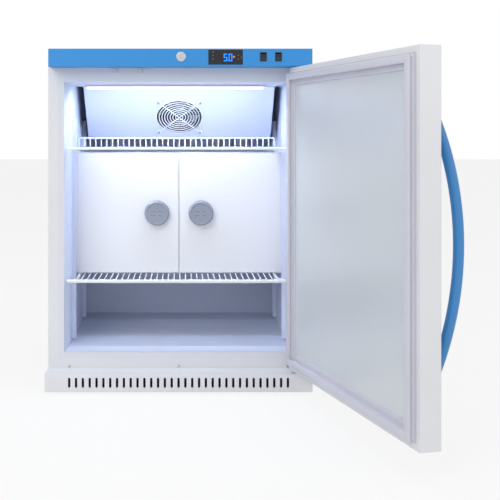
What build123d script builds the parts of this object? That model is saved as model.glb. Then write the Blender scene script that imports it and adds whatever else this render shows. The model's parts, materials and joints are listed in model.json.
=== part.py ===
from build123d import *
import math
import os

# Undercounter breast milk refrigerator, in millimetres.
# Origin: on the floor, at the centre of the cabinet's footprint. +X right, +Y back, +Z up.
# The main door is modelled closed and then turned open to its rest angle.
os.makedirs("parts", exist_ok=True)

# Cabinet envelope
CABINET_WIDTH = 600.0
CABINET_DEPTH = 550.0
CABINET_HEIGHT = 772.0
FLOOR_GAP = 3.0
SHEET = 1.0
PAN_SHEET = 1.5
WORKTOP_THICKNESS = 15.0
WORKTOP_EDGE_RADIUS = 1.2
CLEARANCE = 0.3
FIT_CLEARANCE = 0.05
OVERCUT = 1.0

# Control fascia and kick plate, which stand as far proud of the front frame as the door
FASCIA_HEIGHT = 40.0
FASCIA_WALL = 2.0
FASCIA_EDGE_RADIUS = 1.5
FASCIA_LEFT_INSET = 8.0
KICK_HEIGHT = 40.0
KICK_SHEET = 1.5
KICK_EDGE_RADIUS = 2.5
KICK_SLOT_COUNT = 33
KICK_SLOT_PITCH = 15.3
KICK_SLOT_WIDTH = 5.3
KICK_SLOT_HEIGHT = 22.4
KICK_SLOT_RISE = 20.6

# Front frame and breaker strip around the mouth
FLANGE_WIDTH = 24.0
FLANGE_SHEET = 1.2
FLANGE_LIP = 12.0
FLANGE_TOP_DROP = 18.7
FLANGE_BOTTOM_RISE = 22.6
BREAKER_WIDTH = 12.6
BREAKER_TOP_WIDTH = 12.4
BREAKER_BOTTOM_WIDTH = 13.6
BREAKER_DEPTH = 5.5
BREAKER_SET_BACK = 0.5

# Inner liner, measured from the mouth of the cabinet
LINER_WALL = 2.0
THROAT_TAPER_DEPTH = 21.0
THROAT_TAPER = 9.4
LINER_DRAFT = 1.0
FLOOR_RISE = 8.8
FLOOR_FALL = 1.0
RAMP_LENGTH = 55.0
RAMP_END_FROM_BACK = 95.0
RAMP_HEIGHT = 8.0
CEILING_DROP = 7.4
CEILING_RISE = 10.5
CEILING_FLAT_LENGTH = 55.0
BACK_INSULATION = 38.0
MACHINE_ROOM_HEIGHT = 247.0

# Main door
DOOR_SIDE_GAP = 2.0
DOOR_TOP_GAP = 2.0
DOOR_BOTTOM_GAP = 5.0
DOOR_THICKNESS = 41.0
DOOR_SHEET = 1.0
DOOR_RETURN = 11.0
DOOR_EDGE_RADIUS = 2.5
DOOR_PANEL_THICKNESS = 2.0
DOOR_REST_ANGLE = 105.0
GASKET_INSET = 12.0
GASKET_BULB = 10.0
GASKET_LIP = 9.0
GASKET_HEIGHT = 14.2
GASKET_LIP_HEIGHT = 3.0
GASKET_GAP = 0.8

# Main hinge
HINGE_FROM_EDGE = 18.8
HINGE_FROM_FACE = 17.0
HINGE_PIN_RADIUS = 4.0
HINGE_PLATE = 3.0
HINGE_PLATE_INSET = 3.0
HINGE_ARM = 20.0
HINGE_SIDE_INSET = 1.0
HINGE_LEG_SHEET = 1.5
HINGE_LEG_HEIGHT = 34.0
HINGE_LEG_GAP = 2.0
HINGE_HEAD = 3.0
HINGE_COLLAR_RADIUS = 7.0
HINGE_COLLAR = 1.7
BUSHING_RADIUS = 8.0
BUSHING_LENGTH = 14.0
BUSHING_END_GAP = 2.0

# Bowed tubular handle
HANDLE_RADIUS = 9.5
HANDLE_FROM_EDGE = 30.0
HANDLE_STAND_OFF = 49.5
HANDLE_ARC_RADIUS = 545.0
HANDLE_OVERRUN = 3.0
HANDLE_SCREW_RADIUS = 3.0
HANDLE_SCREW_PROUD = 4.0

# Lock in the fascia
LOCK_X = 5.7
LOCK_BELOW_TOP = 18.4
LOCK_FLANGE_RADIUS = 11.0
LOCK_FLANGE = 2.0
LOCK_EDGE_RADIUS = 1.2
LOCK_BODY_RADIUS = 8.5
LOCK_PLUG_RADIUS = 5.5
LOCK_PLUG_PROUD = 0.4
KEYWAY_WIDTH = 1.4
KEYWAY_HEIGHT = 7.2
KEYWAY_DEPTH = 6.0
LOCK_BODY_LENGTH = 14.0
LOCK_CAM_REACH = 30.0
LOCK_CAM_WIDTH = 8.0
LOCK_CAM_SHEET = 2.5
LOCK_CAM_TIP_RADIUS = 3.0
LOCK_SLOT_DEPTH = 14.0
LOCK_SLOT_SIDE_GAP = 2.0
LOCK_SLOT_FACE_GAP = 1.0

# Display and rocker switches in the fascia
DISPLAY_FROM_SIDE = 194.6
DISPLAY_WIDTH = 77.4
DISPLAY_HEIGHT = 33.6
DISPLAY_BELOW_TOP = 19.3
DISPLAY_PROUD = 0.4
DISPLAY_THICKNESS = 3.0
DISPLAY_EDGE_RADIUS = 0.3
BOARD_SETBACK = 12.0
BOARD_THICKNESS = 1.6
BOARD_MARGIN = 4.0
MODULE_MARGIN = 8.0
ROCKERS_FROM_SIDE = (110.1, 76.3)
ROCKER_BELOW_TOP = 18.6
ROCKER_BEZEL_WIDTH = 15.0
ROCKER_BEZEL_HEIGHT = 20.4
ROCKER_BEZEL_WALL = 1.4
ROCKER_BEZEL_PROUD = 1.2
ROCKER_BEZEL_EDGE_RADIUS = 0.5
ROCKER_BODY_DEPTH = 20.0
ROCKER_TILT = 7.0
ROCKER_SWING_ROOM = 1.1
ROCKER_CREST = 8.0
ROCKER_VALLEY = 6.8
ROCKER_FOOT = 4.0
ROCKER_FOOT_TAPER = 3.2
ROCKER_PIVOT_DEPTH = 6.0

# Door switch plungers under the fascia
PLUNGER_X = (-145.4, -87.0)
PLUNGER_WIDTH = 6.6
PLUNGER_HEIGHT = 10.0
PLUNGER_BELOW_FASCIA = 5.6
PLUNGER_GAP = 3.0
PLUNGER_LENGTH = 22.0
PLUNGER_EDGE_RADIUS = 1.2
PLUNGER_TRAVEL = 6.0
SWITCH_WALL = 2.0

# Light bar under the front of the ceiling
LIGHT_LENS_LEFT_GAP = 41.0
LIGHT_LENS_RIGHT_GAP = 57.0
LIGHT_LENS_HEIGHT = 5.0
LIGHT_LENS_INSET = 1.0
LIGHT_LENS_EDGE_RADIUS = 2.4
LIGHT_HOUSING_LEFT_GAP = 37.0
LIGHT_HOUSING_RIGHT_GAP = 47.0
LIGHT_HOUSING_HEIGHT = 3.0
LIGHT_BAR_SETBACK = 25.0
LIGHT_BAR_WIDTH = 14.0

# Evaporator, its cover and its fan
COVER_SIDE_GAP = 19.0
COVER_SHEET = 2.0
COVER_DOWN_SLOPE = 75.0
COVER_SLOPE = 45.0
COVER_BACK_GAP = 10.0
FAN_CENTRE_FROM_BACK = 169.0
FAN_CENTRE_BELOW_CEILING = 69.5
EVAPORATOR_FAN_SIZE = 119.0
EVAPORATOR_FAN_DEPTH = 25.0
EVAPORATOR_FAN_HOLES = 104.8
FAN_RIM = 3.0
FAN_CORNER_RADIUS = 4.0
FAN_HUB_SHARE = 0.19
FAN_STRUT = 5.0
FAN_MOUNT_SHEET = 3.0
FAN_SHAFT_RADIUS = 2.0
FAN_BLADE_COUNT = 7
FAN_BLADE_SHEET = 1.8
FAN_BLADE_TILT = 34.0
FAN_BLADE_CHORD_SHARE = 0.27
FAN_BLADE_DEPTH_SHARE = 0.55
FAN_ROTOR_PLACE_SHARE = 0.42
FAN_TIP_GAP = 2.0
FAN_SCREW_RADIUS = 2.0
FAN_SCREW_LENGTH = 14.0
FAN_SCREW_HEAD_RADIUS = 3.6
FAN_SCREW_HEAD = 2.0
GUARD_RING_COUNT = 8
GUARD_OUTER_RADIUS = 57.6
GUARD_RING_PITCH = 6.9
GUARD_WIRE_RADIUS = 1.2
GUARD_SPOKE_LIFT = 1.0
GUARD_EYE_RADIUS = 6.0
GUARD_EYE_LIFT = 0.6
COIL_SIDE_GAP = 30.0
COIL_BACK_GAP = 12.0
COIL_DEPTH = 78.0
COIL_HEIGHT = 84.0
COIL_FIN_PITCH = 16.4
COIL_TUBE_RADIUS = 4.0
COIL_TUBE_END = 6.0
COIL_FIN_SHEET = 1.0
TRAY_WALL = 2.0
TRAY_HEIGHT = 12.0
TRAY_END_GAP = 14.0
TRAY_FRONT_GAP = 5.0
TRAY_BACK_GAP = 3.0

# Shelf standards, clips and wire shelves
STANDARD_WIDTH = 14.0
STANDARD_PROUD = 9.0
STANDARD_FRONT_SETBACK = 78.0
STANDARD_REAR_FROM_BACK = 90.0
STANDARD_BELOW_CEILING = 78.5
STANDARD_FOOT_GAP = 6.0
STANDARD_SLOT_PITCH = 25.4
STANDARD_SLOT_RISE = 20.0
STANDARD_SLOT_HEIGHT = 12.0
STANDARD_SLOT_WIDTH = 4.0
STANDARD_SLOT_DEPTH = 3.0
CLIP_THICKNESS = 4.0
CLIP_INSET = 1.0
SHELF_CENTRE_X = -4.5
SHELF_END_GAP = 9.4
SHELF_RAIL_GAP = 19.0
SHELF_FRONT_SETBACK = 11.0
SHELF_OVERHANG = 7.0
SHELF_WIRE_COUNT = 36
SHELF_WIRE_RADIUS = 1.5
SHELF_BAR_RADIUS = 4.2
SHELF_RAIL_RADIUS = 3.0
SHELF_WELD = 1.0
LOWER_SHELF_RISE = 157.0
UPPER_SHELF_RISE = 14.6
GUARD_SETBACK = 185.0
GUARD_RISE = 21.0
GUARD_SIDE_GAP = 11.0
GUARD_CENTRE_X = -6.5
GUARD_BAR_RADIUS = 2.0

# Locker box with two doors
LOCKER_SIDE_GAP = 2.4
LOCKER_SETBACK = 113.0
LOCKER_REAR_GAP = 5.0
LOCKER_BELOW_CEILING = 158.6
LOCKER_SHEET = 1.2
LOCKER_TAB_LENGTH = 24.0
LOCKER_TAB_SETBACK = 1.0
LOCKER_DOOR_THICKNESS = 14.0
LOCKER_DOOR_SPLIT = 1.6
LOCKER_STILE = 14.0
LOCKER_PIN_RADIUS = 1.5
LOCKER_PIN_LENGTH = 10.0
KNOB_X = 53.0
KNOB_RADIUS = 30.0
KNOB_GRIP_RADIUS = 28.5
KNOB_HEIGHT = 20.0
KNOB_SKIRT = 5.0
KNOB_EDGE_RADIUS = 3.0
KNOB_DISH_RADIUS = 23.5
KNOB_DISH_DEPTH = 1.2
KNOB_SPINDLE_RADIUS = 4.0
KNOB_CAM_GRIP = 4.0
KNOB_CAM_WIDTH = 14.0
KNOB_CAM_SHEET = 2.0

# Machine room
COMPRESSOR_X = -150.0
COMPRESSOR_RADIUS = 54.0
COMPRESSOR_BODY_HEIGHT = 140.0
COMPRESSOR_DOME = 24.0
COMPRESSOR_GAP = 1.5
SEAM_RISE = 80.0
SEAM_HEIGHT = 4.0
SEAM_PROUD = 1.5
RELAY_PROUD = 22.0
RELAY_INNER_REACH = 30.0
RELAY_WIDTH = 44.0
RELAY_RISE = 20.0
RELAY_HEIGHT = 50.0
COMPRESSOR_PLATE = 3.0
COMPRESSOR_PLATE_WIDTH = 150.0
COMPRESSOR_PLATE_DEPTH = 100.0
GROMMET_RADIUS = 9.0
GROMMET_HEIGHT = 13.0
GROMMET_INSET_X = 14.0
GROMMET_INSET_Y = 12.0
CONDENSER_SIDE_GAP = 50.0
CONDENSER_FRONT_GAP = 10.0
CONDENSER_DEPTH = 36.0
CONDENSER_HEIGHT = 31.0
CONDENSER_FIN_PITCH = 20.0
CONDENSER_FAN_X = 60.0
CONDENSER_FAN_SIZE = 92.0
CONDENSER_FAN_DEPTH = 25.0
CONDENSER_FAN_HOLES = 82.5
PIPE_RADIUS = 3.0
PIPE_BEND = 14.0
PIPE_X = -60.0
PIPE_LOW = 22.0
PIPE_HIGH = 80.0
DRIER_RADIUS = 9.0
DRIER_LENGTH = 70.0
DRIER_NECK_RADIUS = 4.0
INLET_FROM_SIDE = 80.0
INLET_RISE = 67.0
INLET_WIDTH = 50.0
INLET_HEIGHT = 24.0
INLET_FLANGE = 2.5
INLET_BODY_WIDTH = 28.0
INLET_BODY_HEIGHT = 22.0
INLET_BODY_DEPTH = 22.0
INLET_SOCKET_WIDTH = 24.0
INLET_SOCKET_HEIGHT = 16.0
INLET_SOCKET_DEPTH = 16.0
INLET_BLADE_PLACES = ((-7.0, -2.0), (0.0, 2.0), (7.0, -2.0))
INLET_BLADE_WIDTH = 2.0
INLET_BLADE_HEIGHT = 4.0
INLET_BLADE_LENGTH = 13.0
VENT_SLOT_COUNT = 16
VENT_SLOT_PITCH = 26.0
VENT_SLOT_WIDTH = 8.0
VENT_SLOT_LENGTH = 60.0
VENT_SLOT_BELOW_TOP = 90.0

# Levelling feet
FOOT_FROM_SIDE = 45.0
FOOT_FROM_FRONT = 30.0
FOOT_FROM_BACK = 50.0
FOOT_PAD_RADIUS = 15.0
FOOT_PAD_HEIGHT = 2.7
FOOT_STUD_RADIUS = 4.0
FOOT_STUD_LENGTH = 28.0
FOOT_NUT_RADIUS = 8.0
FOOT_NUT_HEIGHT = 7.0

# Frame screws along the foot of the front frame
FRAME_SCREW_FROM_SIDE = 49.0
FRAME_SCREW_RADIUS = 3.2
FRAME_SCREW_HEAD = 1.6
FRAME_SCREW_RISE = 4.2

# Planes and edges that follow from the sizes above
HALF_WIDTH = CABINET_WIDTH / 2
Y_FRAME = -CABINET_DEPTH / 2
Y_BACK = CABINET_DEPTH / 2
FRONT_PROUD = DOOR_THICKNESS + GASKET_HEIGHT + GASKET_GAP
Y_FACE = Y_FRAME - FRONT_PROUD
FASCIA_BOTTOM = CABINET_HEIGHT - FASCIA_HEIGHT
WORKTOP_BOTTOM = CABINET_HEIGHT - WORKTOP_THICKNESS
KICK_TOP = FLOOR_GAP + KICK_HEIGHT
PAN_TOP = FLOOR_GAP + PAN_SHEET
MOUTH_HALF_WIDTH = HALF_WIDTH - FLANGE_WIDTH
MOUTH_BOTTOM = KICK_TOP + FLANGE_BOTTOM_RISE
MOUTH_TOP = FASCIA_BOTTOM - FLANGE_TOP_DROP
THROAT_HALF_WIDTH = MOUTH_HALF_WIDTH - BREAKER_WIDTH
THROAT_BOTTOM = MOUTH_BOTTOM + BREAKER_BOTTOM_WIDTH
THROAT_TOP = MOUTH_TOP - BREAKER_TOP_WIDTH
LINER_START = BREAKER_SET_BACK + BREAKER_DEPTH
LINER_HALF_WIDTH = THROAT_HALF_WIDTH - THROAT_TAPER
CAVITY_FLOOR = THROAT_BOTTOM + FLOOR_RISE
CAVITY_CEILING = THROAT_TOP - CEILING_DROP
MACHINE_ROOM_DEPTH = 2 * (COMPRESSOR_RADIUS + SEAM_PROUD + COMPRESSOR_GAP)
MACHINE_ROOM_TOP = FLOOR_GAP + MACHINE_ROOM_HEIGHT
Y_MACHINE_ROOM = Y_BACK - SHEET - MACHINE_ROOM_DEPTH
Y_CAVITY_BACK = Y_MACHINE_ROOM - BACK_INSULATION - LINER_WALL
CAVITY_DEPTH = Y_CAVITY_BACK - Y_FRAME
TAPER_END = LINER_START + THROAT_TAPER_DEPTH
RAMP_END = CAVITY_DEPTH - RAMP_END_FROM_BACK
RAMP_START = RAMP_END - RAMP_LENGTH
CEILING_RISE_END = CAVITY_DEPTH - CEILING_FLAT_LENGTH
CEILING_SLOPE = CEILING_RISE / (CEILING_RISE_END - TAPER_END)

DOOR_HALF_WIDTH = HALF_WIDTH - DOOR_SIDE_GAP
DOOR_TOP = FASCIA_BOTTOM - DOOR_TOP_GAP
DOOR_BOTTOM = KICK_TOP + DOOR_BOTTOM_GAP
Y_DOOR_INNER = Y_FACE + DOOR_THICKNESS
HINGE_X = DOOR_HALF_WIDTH - HINGE_FROM_EDGE
HINGE_Y = Y_FACE + HINGE_FROM_FACE
LOCK_Z = CABINET_HEIGHT - LOCK_BELOW_TOP
Y_LOCK_CAM = Y_FACE + DOOR_THICKNESS / 2
DISPLAY_X = HALF_WIDTH - DISPLAY_FROM_SIDE
DISPLAY_Z = CABINET_HEIGHT - DISPLAY_BELOW_TOP
ROCKER_X = [HALF_WIDTH - distance for distance in ROCKERS_FROM_SIDE]
ROCKER_Z = CABINET_HEIGHT - ROCKER_BELOW_TOP
PLUNGER_Z = FASCIA_BOTTOM - PLUNGER_BELOW_FASCIA
PLUNGER_PROUD = GASKET_HEIGHT + GASKET_GAP - PLUNGER_GAP

COVER_HALF_WIDTH = LINER_HALF_WIDTH - COVER_SIDE_GAP
COIL_HALF_WIDTH = COVER_HALF_WIDTH - COIL_SIDE_GAP
FAN_CENTRE_SETBACK = CAVITY_DEPTH - FAN_CENTRE_FROM_BACK
FAN_CENTRE_HEIGHT = CAVITY_CEILING - FAN_CENTRE_BELOW_CEILING
STANDARD_REAR_SETBACK = CAVITY_DEPTH - STANDARD_REAR_FROM_BACK
STANDARD_TOP = CAVITY_CEILING - STANDARD_BELOW_CEILING
SHELF_HALF_WIDTH = THROAT_HALF_WIDTH - SHELF_END_GAP
SHELF_RAIL_HALF_WIDTH = LINER_HALF_WIDTH - SHELF_RAIL_GAP
SHELF_REAR_SETBACK = STANDARD_REAR_SETBACK + STANDARD_WIDTH + SHELF_OVERHANG
LOWER_SHELF_TOP = CAVITY_FLOOR + LOWER_SHELF_RISE
GUARD_HALF_WIDTH = LINER_HALF_WIDTH - GUARD_SIDE_GAP

LOCKER_HALF_WIDTH = LINER_HALF_WIDTH - LOCKER_SIDE_GAP
LOCKER_BOTTOM = LOWER_SHELF_TOP + CLEARANCE
LOCKER_TOP = CAVITY_CEILING - LOCKER_BELOW_CEILING
LOCKER_REAR_SETBACK = STANDARD_REAR_SETBACK - LOCKER_REAR_GAP
UPPER_SHELF_TOP = LOCKER_TOP + UPPER_SHELF_RISE
Y_LOCKER_FACE = Y_FRAME + LOCKER_SETBACK
Y_LOCKER_BOX = Y_LOCKER_FACE + LOCKER_DOOR_THICKNESS + CLEARANCE
Y_LOCKER_BACK = Y_FRAME + LOCKER_REAR_SETBACK
LOCKER_DOOR_BOTTOM = LOCKER_BOTTOM + LOCKER_SHEET + CLEARANCE
LOCKER_DOOR_TOP = LOCKER_TOP - LOCKER_SHEET - CLEARANCE
LOCKER_PIVOT_X = LOCKER_HALF_WIDTH - CLEARANCE - LOCKER_DOOR_THICKNESS / 2
LOCKER_PIVOT_Y = Y_LOCKER_FACE + LOCKER_DOOR_THICKNESS / 2
KNOB_Z = (LOCKER_BOTTOM + LOCKER_TOP) / 2
Y_KNOB_CAM = Y_LOCKER_BOX + LOCKER_SHEET + 2 * CLEARANCE
KNOB_CAM_REACH = KNOB_X - LOCKER_STILE + KNOB_CAM_GRIP

CONDENSER_HALF_WIDTH = HALF_WIDTH - CONDENSER_SIDE_GAP
Y_CONDENSER = Y_FACE + CONDENSER_FRONT_GAP
INLET_X = HALF_WIDTH - INLET_FROM_SIDE
INLET_Z = FLOOR_GAP + INLET_RISE

FAN_PLANE = Plane(
    origin=(0, Y_FRAME + FAN_CENTRE_SETBACK, FAN_CENTRE_HEIGHT),
    x_dir=(1, 0, 0),
    z_dir=(0, -math.sin(math.radians(COVER_SLOPE)), -math.cos(math.radians(COVER_SLOPE))),
)
CONDENSER_FAN_PLANE = Plane(
    origin=(
        CONDENSER_FAN_X,
        Y_MACHINE_ROOM + MACHINE_ROOM_DEPTH / 2,
        PAN_TOP + CONDENSER_FAN_SIZE / 2,
    ),
    x_dir=(0, 1, 0),
    z_dir=(-1, 0, 0),
)


def block(x0, x1, y0, y1, z0, z1):
    """A box between two corners."""
    centre = Pos((x0 + x1) / 2, (y0 + y1) / 2, (z0 + z1) / 2)
    return centre * Box(abs(x1 - x0), abs(y1 - y0), abs(z1 - z0))


def rod_x(x0, x1, y, z, radius):
    """A round bar along X."""
    return Pos((x0 + x1) / 2, y, z) * Rot(0, 90, 0) * Cylinder(radius, abs(x1 - x0))


def rod_y(x, y0, y1, z, radius):
    """A round bar along Y."""
    return Pos(x, (y0 + y1) / 2, z) * Rot(90, 0, 0) * Cylinder(radius, abs(y1 - y0))


def rod_z(x, y, z0, z1, radius):
    """A round bar along Z."""
    return Pos(x, y, (z0 + z1) / 2) * Cylinder(radius, abs(z1 - z0))


def from_depth(setback):
    """The Y of a point that lies this far behind the front frame."""
    return Y_FRAME + setback


def joined(pieces):
    """All pieces as one fused solid."""
    first, *rest = pieces
    return first.fuse(*rest) if rest else first


def turned_open(shape):
    """A door piece, moved from the closed place to the rest angle."""
    hinge = Axis((HINGE_X, HINGE_Y, 0), (0, 0, 1))
    return shape.rotate(hinge, DOOR_REST_ANGLE)


def save(node, *pieces):
    """Write one sub-part to its own STEP file."""
    solids = [solid for piece in pieces for solid in piece.solids()]
    shape = solids[0] if len(solids) == 1 else Compound(solids)
    export_step(shape, f"parts/{node}.step")


def cavity(grow):
    """The hollow of the liner, with every wall moved out by grow."""
    start, taper_end = from_depth(LINER_START), from_depth(TAPER_END)
    back = Y_CAVITY_BACK + grow
    floor_front = CAVITY_FLOOR - grow
    floor_middle = CAVITY_FLOOR + FLOOR_FALL - grow
    floor_back = floor_middle + RAMP_HEIGHT
    ceiling_front = CAVITY_CEILING + grow
    ceiling_back = ceiling_front + CEILING_RISE
    side = Polygon(
        (start, THROAT_BOTTOM - grow),
        (taper_end, floor_front),
        (from_depth(RAMP_START), floor_middle),
        (from_depth(RAMP_END), floor_back),
        (back, floor_back),
        (back, ceiling_back),
        (from_depth(CEILING_RISE_END), ceiling_back),
        (taper_end, ceiling_front),
        (start, THROAT_TOP + grow),
        align=None,
    )
    front_half, middle_half = THROAT_HALF_WIDTH + grow, LINER_HALF_WIDTH + grow
    back_half = middle_half - LINER_DRAFT
    plan = Polygon(
        (-front_half, start),
        (front_half, start),
        (middle_half, taper_end),
        (back_half, back),
        (-back_half, back),
        (-middle_half, taper_end),
        align=None,
    )
    long_way = extrude(Plane.YZ * side, amount=CABINET_WIDTH, both=True)
    tall_way = extrude(plan, amount=CABINET_HEIGHT + grow)
    return long_way & tall_way


def liner_half_width(setback):
    """Half the clear width between the liner's side walls at this depth."""
    return LINER_HALF_WIDTH - LINER_DRAFT * (setback - TAPER_END) / (CAVITY_DEPTH - TAPER_END)


def ceiling_height(setback):
    """The height of the liner's sloping ceiling at this depth."""
    return CAVITY_CEILING + CEILING_SLOPE * (setback - TAPER_END)


def floor_height(setback):
    """The height of the liner's floor at this depth: nearly level, then up a ramp."""
    share = (setback - RAMP_START) / RAMP_LENGTH
    return CAVITY_FLOOR + FLOOR_FALL + RAMP_HEIGHT * min(1, max(0, share))


def make_case():
    """Outer sheet metal, worktop, base and the insulation behind them."""
    inside = HALF_WIDTH - SHEET
    for name, side in (("side_panel_left", -1), ("side_panel_right", 1)):
        panel = block(
            side * inside, side * HALF_WIDTH, Y_FRAME + FLANGE_SHEET, Y_BACK, FLOOR_GAP, WORKTOP_BOTTOM
        )
        save(name, panel)
    save("back_panel", block(-inside, inside, Y_BACK - SHEET, Y_BACK, MACHINE_ROOM_TOP, WORKTOP_BOTTOM))
    top = block(-HALF_WIDTH, HALF_WIDTH, Y_FRAME, Y_BACK, WORKTOP_BOTTOM, CABINET_HEIGHT)
    save("worktop", fillet(top.faces().sort_by(Axis.Z)[-1].edges(), WORKTOP_EDGE_RADIUS))
    make_base_pan()
    make_foam()


def make_base_pan():
    """Bottom tray with a welded nut for each levelling foot, and the feet themselves."""
    half = HALF_WIDTH - KICK_SHEET
    pan = block(-half, half, Y_FACE + KICK_SHEET, Y_BACK - PAN_SHEET, FLOOR_GAP, PAN_TOP)
    foot_x = HALF_WIDTH - FOOT_FROM_SIDE
    y_front, y_back = Y_FRAME + FOOT_FROM_FRONT, Y_BACK - FOOT_FROM_BACK
    nuts, bores = [], []
    for name, x in (("foot_front_left", -foot_x), ("foot_front_right", foot_x)):
        nuts.append(rod_z(x, y_front, PAN_TOP, PAN_TOP + FOOT_NUT_HEIGHT, FOOT_NUT_RADIUS))
        bores.append(rod_z(x, y_front, 0, PAN_TOP + 2 * FOOT_NUT_HEIGHT, FOOT_STUD_RADIUS + CLEARANCE))
        pad = rod_z(x, y_front, 0, FOOT_PAD_HEIGHT, FOOT_PAD_RADIUS)
        stud_top = FOOT_PAD_HEIGHT + FOOT_STUD_LENGTH
        save(name, pad.fuse(rod_z(x, y_front, FOOT_PAD_HEIGHT, stud_top, FOOT_STUD_RADIUS)))
    save("rear_feet", *[rod_z(x, y_back, 0, FLOOR_GAP, FOOT_PAD_RADIUS) for x in (-foot_x, foot_x)])
    save("base_pan", joined([pan] + nuts).cut(*bores))


def make_foam():
    """Insulation that fills the walls around the liner, clear of the machine room."""
    inside = HALF_WIDTH - SHEET
    body = block(-inside, inside, Y_FRAME + FLANGE_LIP, Y_BACK - SHEET, KICK_TOP, WORKTOP_BOTTOM)
    machine = block(-HALF_WIDTH, HALF_WIDTH, Y_MACHINE_ROOM, Y_BACK, 0, MACHINE_ROOM_TOP)
    pockets = [switch_block(x) for x in PLUNGER_X]
    save("foam_insulation", body.cut(cavity(LINER_WALL), machine, *pockets))


def make_mouth():
    """Front frame, breaker strip and liner: what the door closes against."""
    y_sheet = Y_FRAME + FLANGE_SHEET
    ring = block(-HALF_WIDTH, HALF_WIDTH, Y_FRAME, y_sheet, KICK_TOP, WORKTOP_BOTTOM)
    lip = block(
        -MOUTH_HALF_WIDTH - FLANGE_SHEET,
        MOUTH_HALF_WIDTH + FLANGE_SHEET,
        Y_FRAME,
        Y_FRAME + FLANGE_LIP,
        MOUTH_BOTTOM - FLANGE_SHEET,
        MOUTH_TOP + FLANGE_SHEET,
    )
    y0, y1 = Y_FRAME - OVERCUT, Y_FRAME + FLANGE_LIP + OVERCUT
    hole = block(-MOUTH_HALF_WIDTH, MOUTH_HALF_WIDTH, y0, y1, MOUTH_BOTTOM, MOUTH_TOP)
    windows = [plunger_block(x, CLEARANCE) for x in PLUNGER_X]
    save("front_frame", ring.fuse(lip).cut(hole, *windows))
    y_strip = Y_FRAME + BREAKER_SET_BACK
    strip = block(
        -MOUTH_HALF_WIDTH, MOUTH_HALF_WIDTH, y_strip, y_strip + BREAKER_DEPTH, MOUTH_BOTTOM, MOUTH_TOP
    )
    throat = block(-THROAT_HALF_WIDTH, THROAT_HALF_WIDTH, y0, y1, THROAT_BOTTOM, THROAT_TOP)
    save("breaker_frame", strip - throat)
    save("inner_liner", cavity(LINER_WALL) - cavity(0))


def frame_screws():
    """Screw heads along the foot of the front frame, which hold the kick plate."""
    reach = HALF_WIDTH - FRAME_SCREW_FROM_SIDE
    z = KICK_TOP + FRAME_SCREW_RISE
    return [
        rod_y(x, Y_FRAME - FRAME_SCREW_HEAD, Y_FRAME, z, FRAME_SCREW_RADIUS) for x in (-reach, 0, reach)
    ]


def plunger_block(x, grow):
    """A door switch plunger, or the window that it slides in."""
    y0 = Y_FRAME - PLUNGER_PROUD
    return block(
        x - PLUNGER_WIDTH / 2 - grow,
        x + PLUNGER_WIDTH / 2 + grow,
        y0,
        y0 + PLUNGER_LENGTH + (PLUNGER_TRAVEL + CLEARANCE if grow else 0),
        PLUNGER_Z - PLUNGER_HEIGHT / 2 - grow,
        PLUNGER_Z + PLUNGER_HEIGHT / 2 + grow,
    )


def switch_block(x):
    """The outside of a door switch's housing behind the frame."""
    half = PLUNGER_WIDTH / 2 + SWITCH_WALL
    y1 = Y_FRAME - PLUNGER_PROUD + PLUNGER_LENGTH + PLUNGER_TRAVEL + SWITCH_WALL
    return block(
        x - half,
        x + half,
        Y_FRAME + FLANGE_SHEET,
        y1,
        PLUNGER_Z - PLUNGER_HEIGHT / 2 - SWITCH_WALL,
        PLUNGER_Z + PLUNGER_HEIGHT / 2 + SWITCH_WALL,
    )


def make_door_switches():
    """Two spring plungers that the door presses, in their housings."""
    housings = [switch_block(x) - plunger_block(x, CLEARANCE) for x in PLUNGER_X]
    save("door_switch_housings", *housings)
    for name, x in zip(("switch_plunger_left", "switch_plunger_right"), PLUNGER_X):
        plunger = plunger_block(x, 0)
        save(name, fillet(plunger.faces().sort_by(Axis.Y)[0].edges(), PLUNGER_EDGE_RADIUS))


def make_fascia():
    """Blue control panel with the cut-outs for what it carries."""
    x0, x1 = -HALF_WIDTH + FASCIA_LEFT_INSET, HALF_WIDTH
    shell = block(x0, x1, Y_FACE, Y_FRAME, FASCIA_BOTTOM, CABINET_HEIGHT)
    front = shell.faces().sort_by(Axis.Y)[0]
    shell = fillet(front.edges(), FASCIA_EDGE_RADIUS)
    hollow = block(
        x0 + FASCIA_WALL,
        x1 - FASCIA_WALL,
        Y_FACE + FASCIA_WALL,
        Y_FRAME + OVERCUT,
        FASCIA_BOTTOM + FASCIA_WALL,
        CABINET_HEIGHT - FASCIA_WALL,
    )
    y0, y1 = Y_FACE - OVERCUT, Y_FACE + FASCIA_WALL + OVERCUT
    z0, z1 = FASCIA_BOTTOM - OVERCUT, FASCIA_BOTTOM + FASCIA_WALL + OVERCUT
    cuts = [hollow, display_block(0, y0, y1)]
    cuts.append(rod_y(LOCK_X, y0, y1, LOCK_Z, LOCK_BODY_RADIUS + FIT_CLEARANCE))
    cuts += [rocker_body(x, FIT_CLEARANCE) for x in ROCKER_X]
    cuts.append(lock_slot(z0, z1))
    cuts.append(rod_z(HINGE_X, HINGE_Y, z0, z1, HINGE_COLLAR_RADIUS))
    save("fascia", shell.cut(*cuts))


def lock_slot(z0, z1):
    """The slot that the lock's cam swings down through."""
    return block(
        LOCK_X - LOCK_CAM_WIDTH / 2 - LOCK_SLOT_SIDE_GAP,
        LOCK_X + LOCK_CAM_REACH - LOCK_CAM_TIP_RADIUS,
        Y_LOCK_CAM - LOCK_CAM_SHEET / 2 - LOCK_SLOT_FACE_GAP,
        Y_LOCK_CAM + LOCK_CAM_SHEET / 2 + LOCK_SLOT_FACE_GAP,
        z0,
        z1,
    )


def display_block(shrink, y0, y1):
    """The outline of the display window, shrunk on its four sides."""
    half_width, half_height = DISPLAY_WIDTH / 2 - shrink, DISPLAY_HEIGHT / 2 - shrink
    return block(
        DISPLAY_X - half_width,
        DISPLAY_X + half_width,
        y0,
        y1,
        DISPLAY_Z - half_height,
        DISPLAY_Z + half_height,
    )


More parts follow.
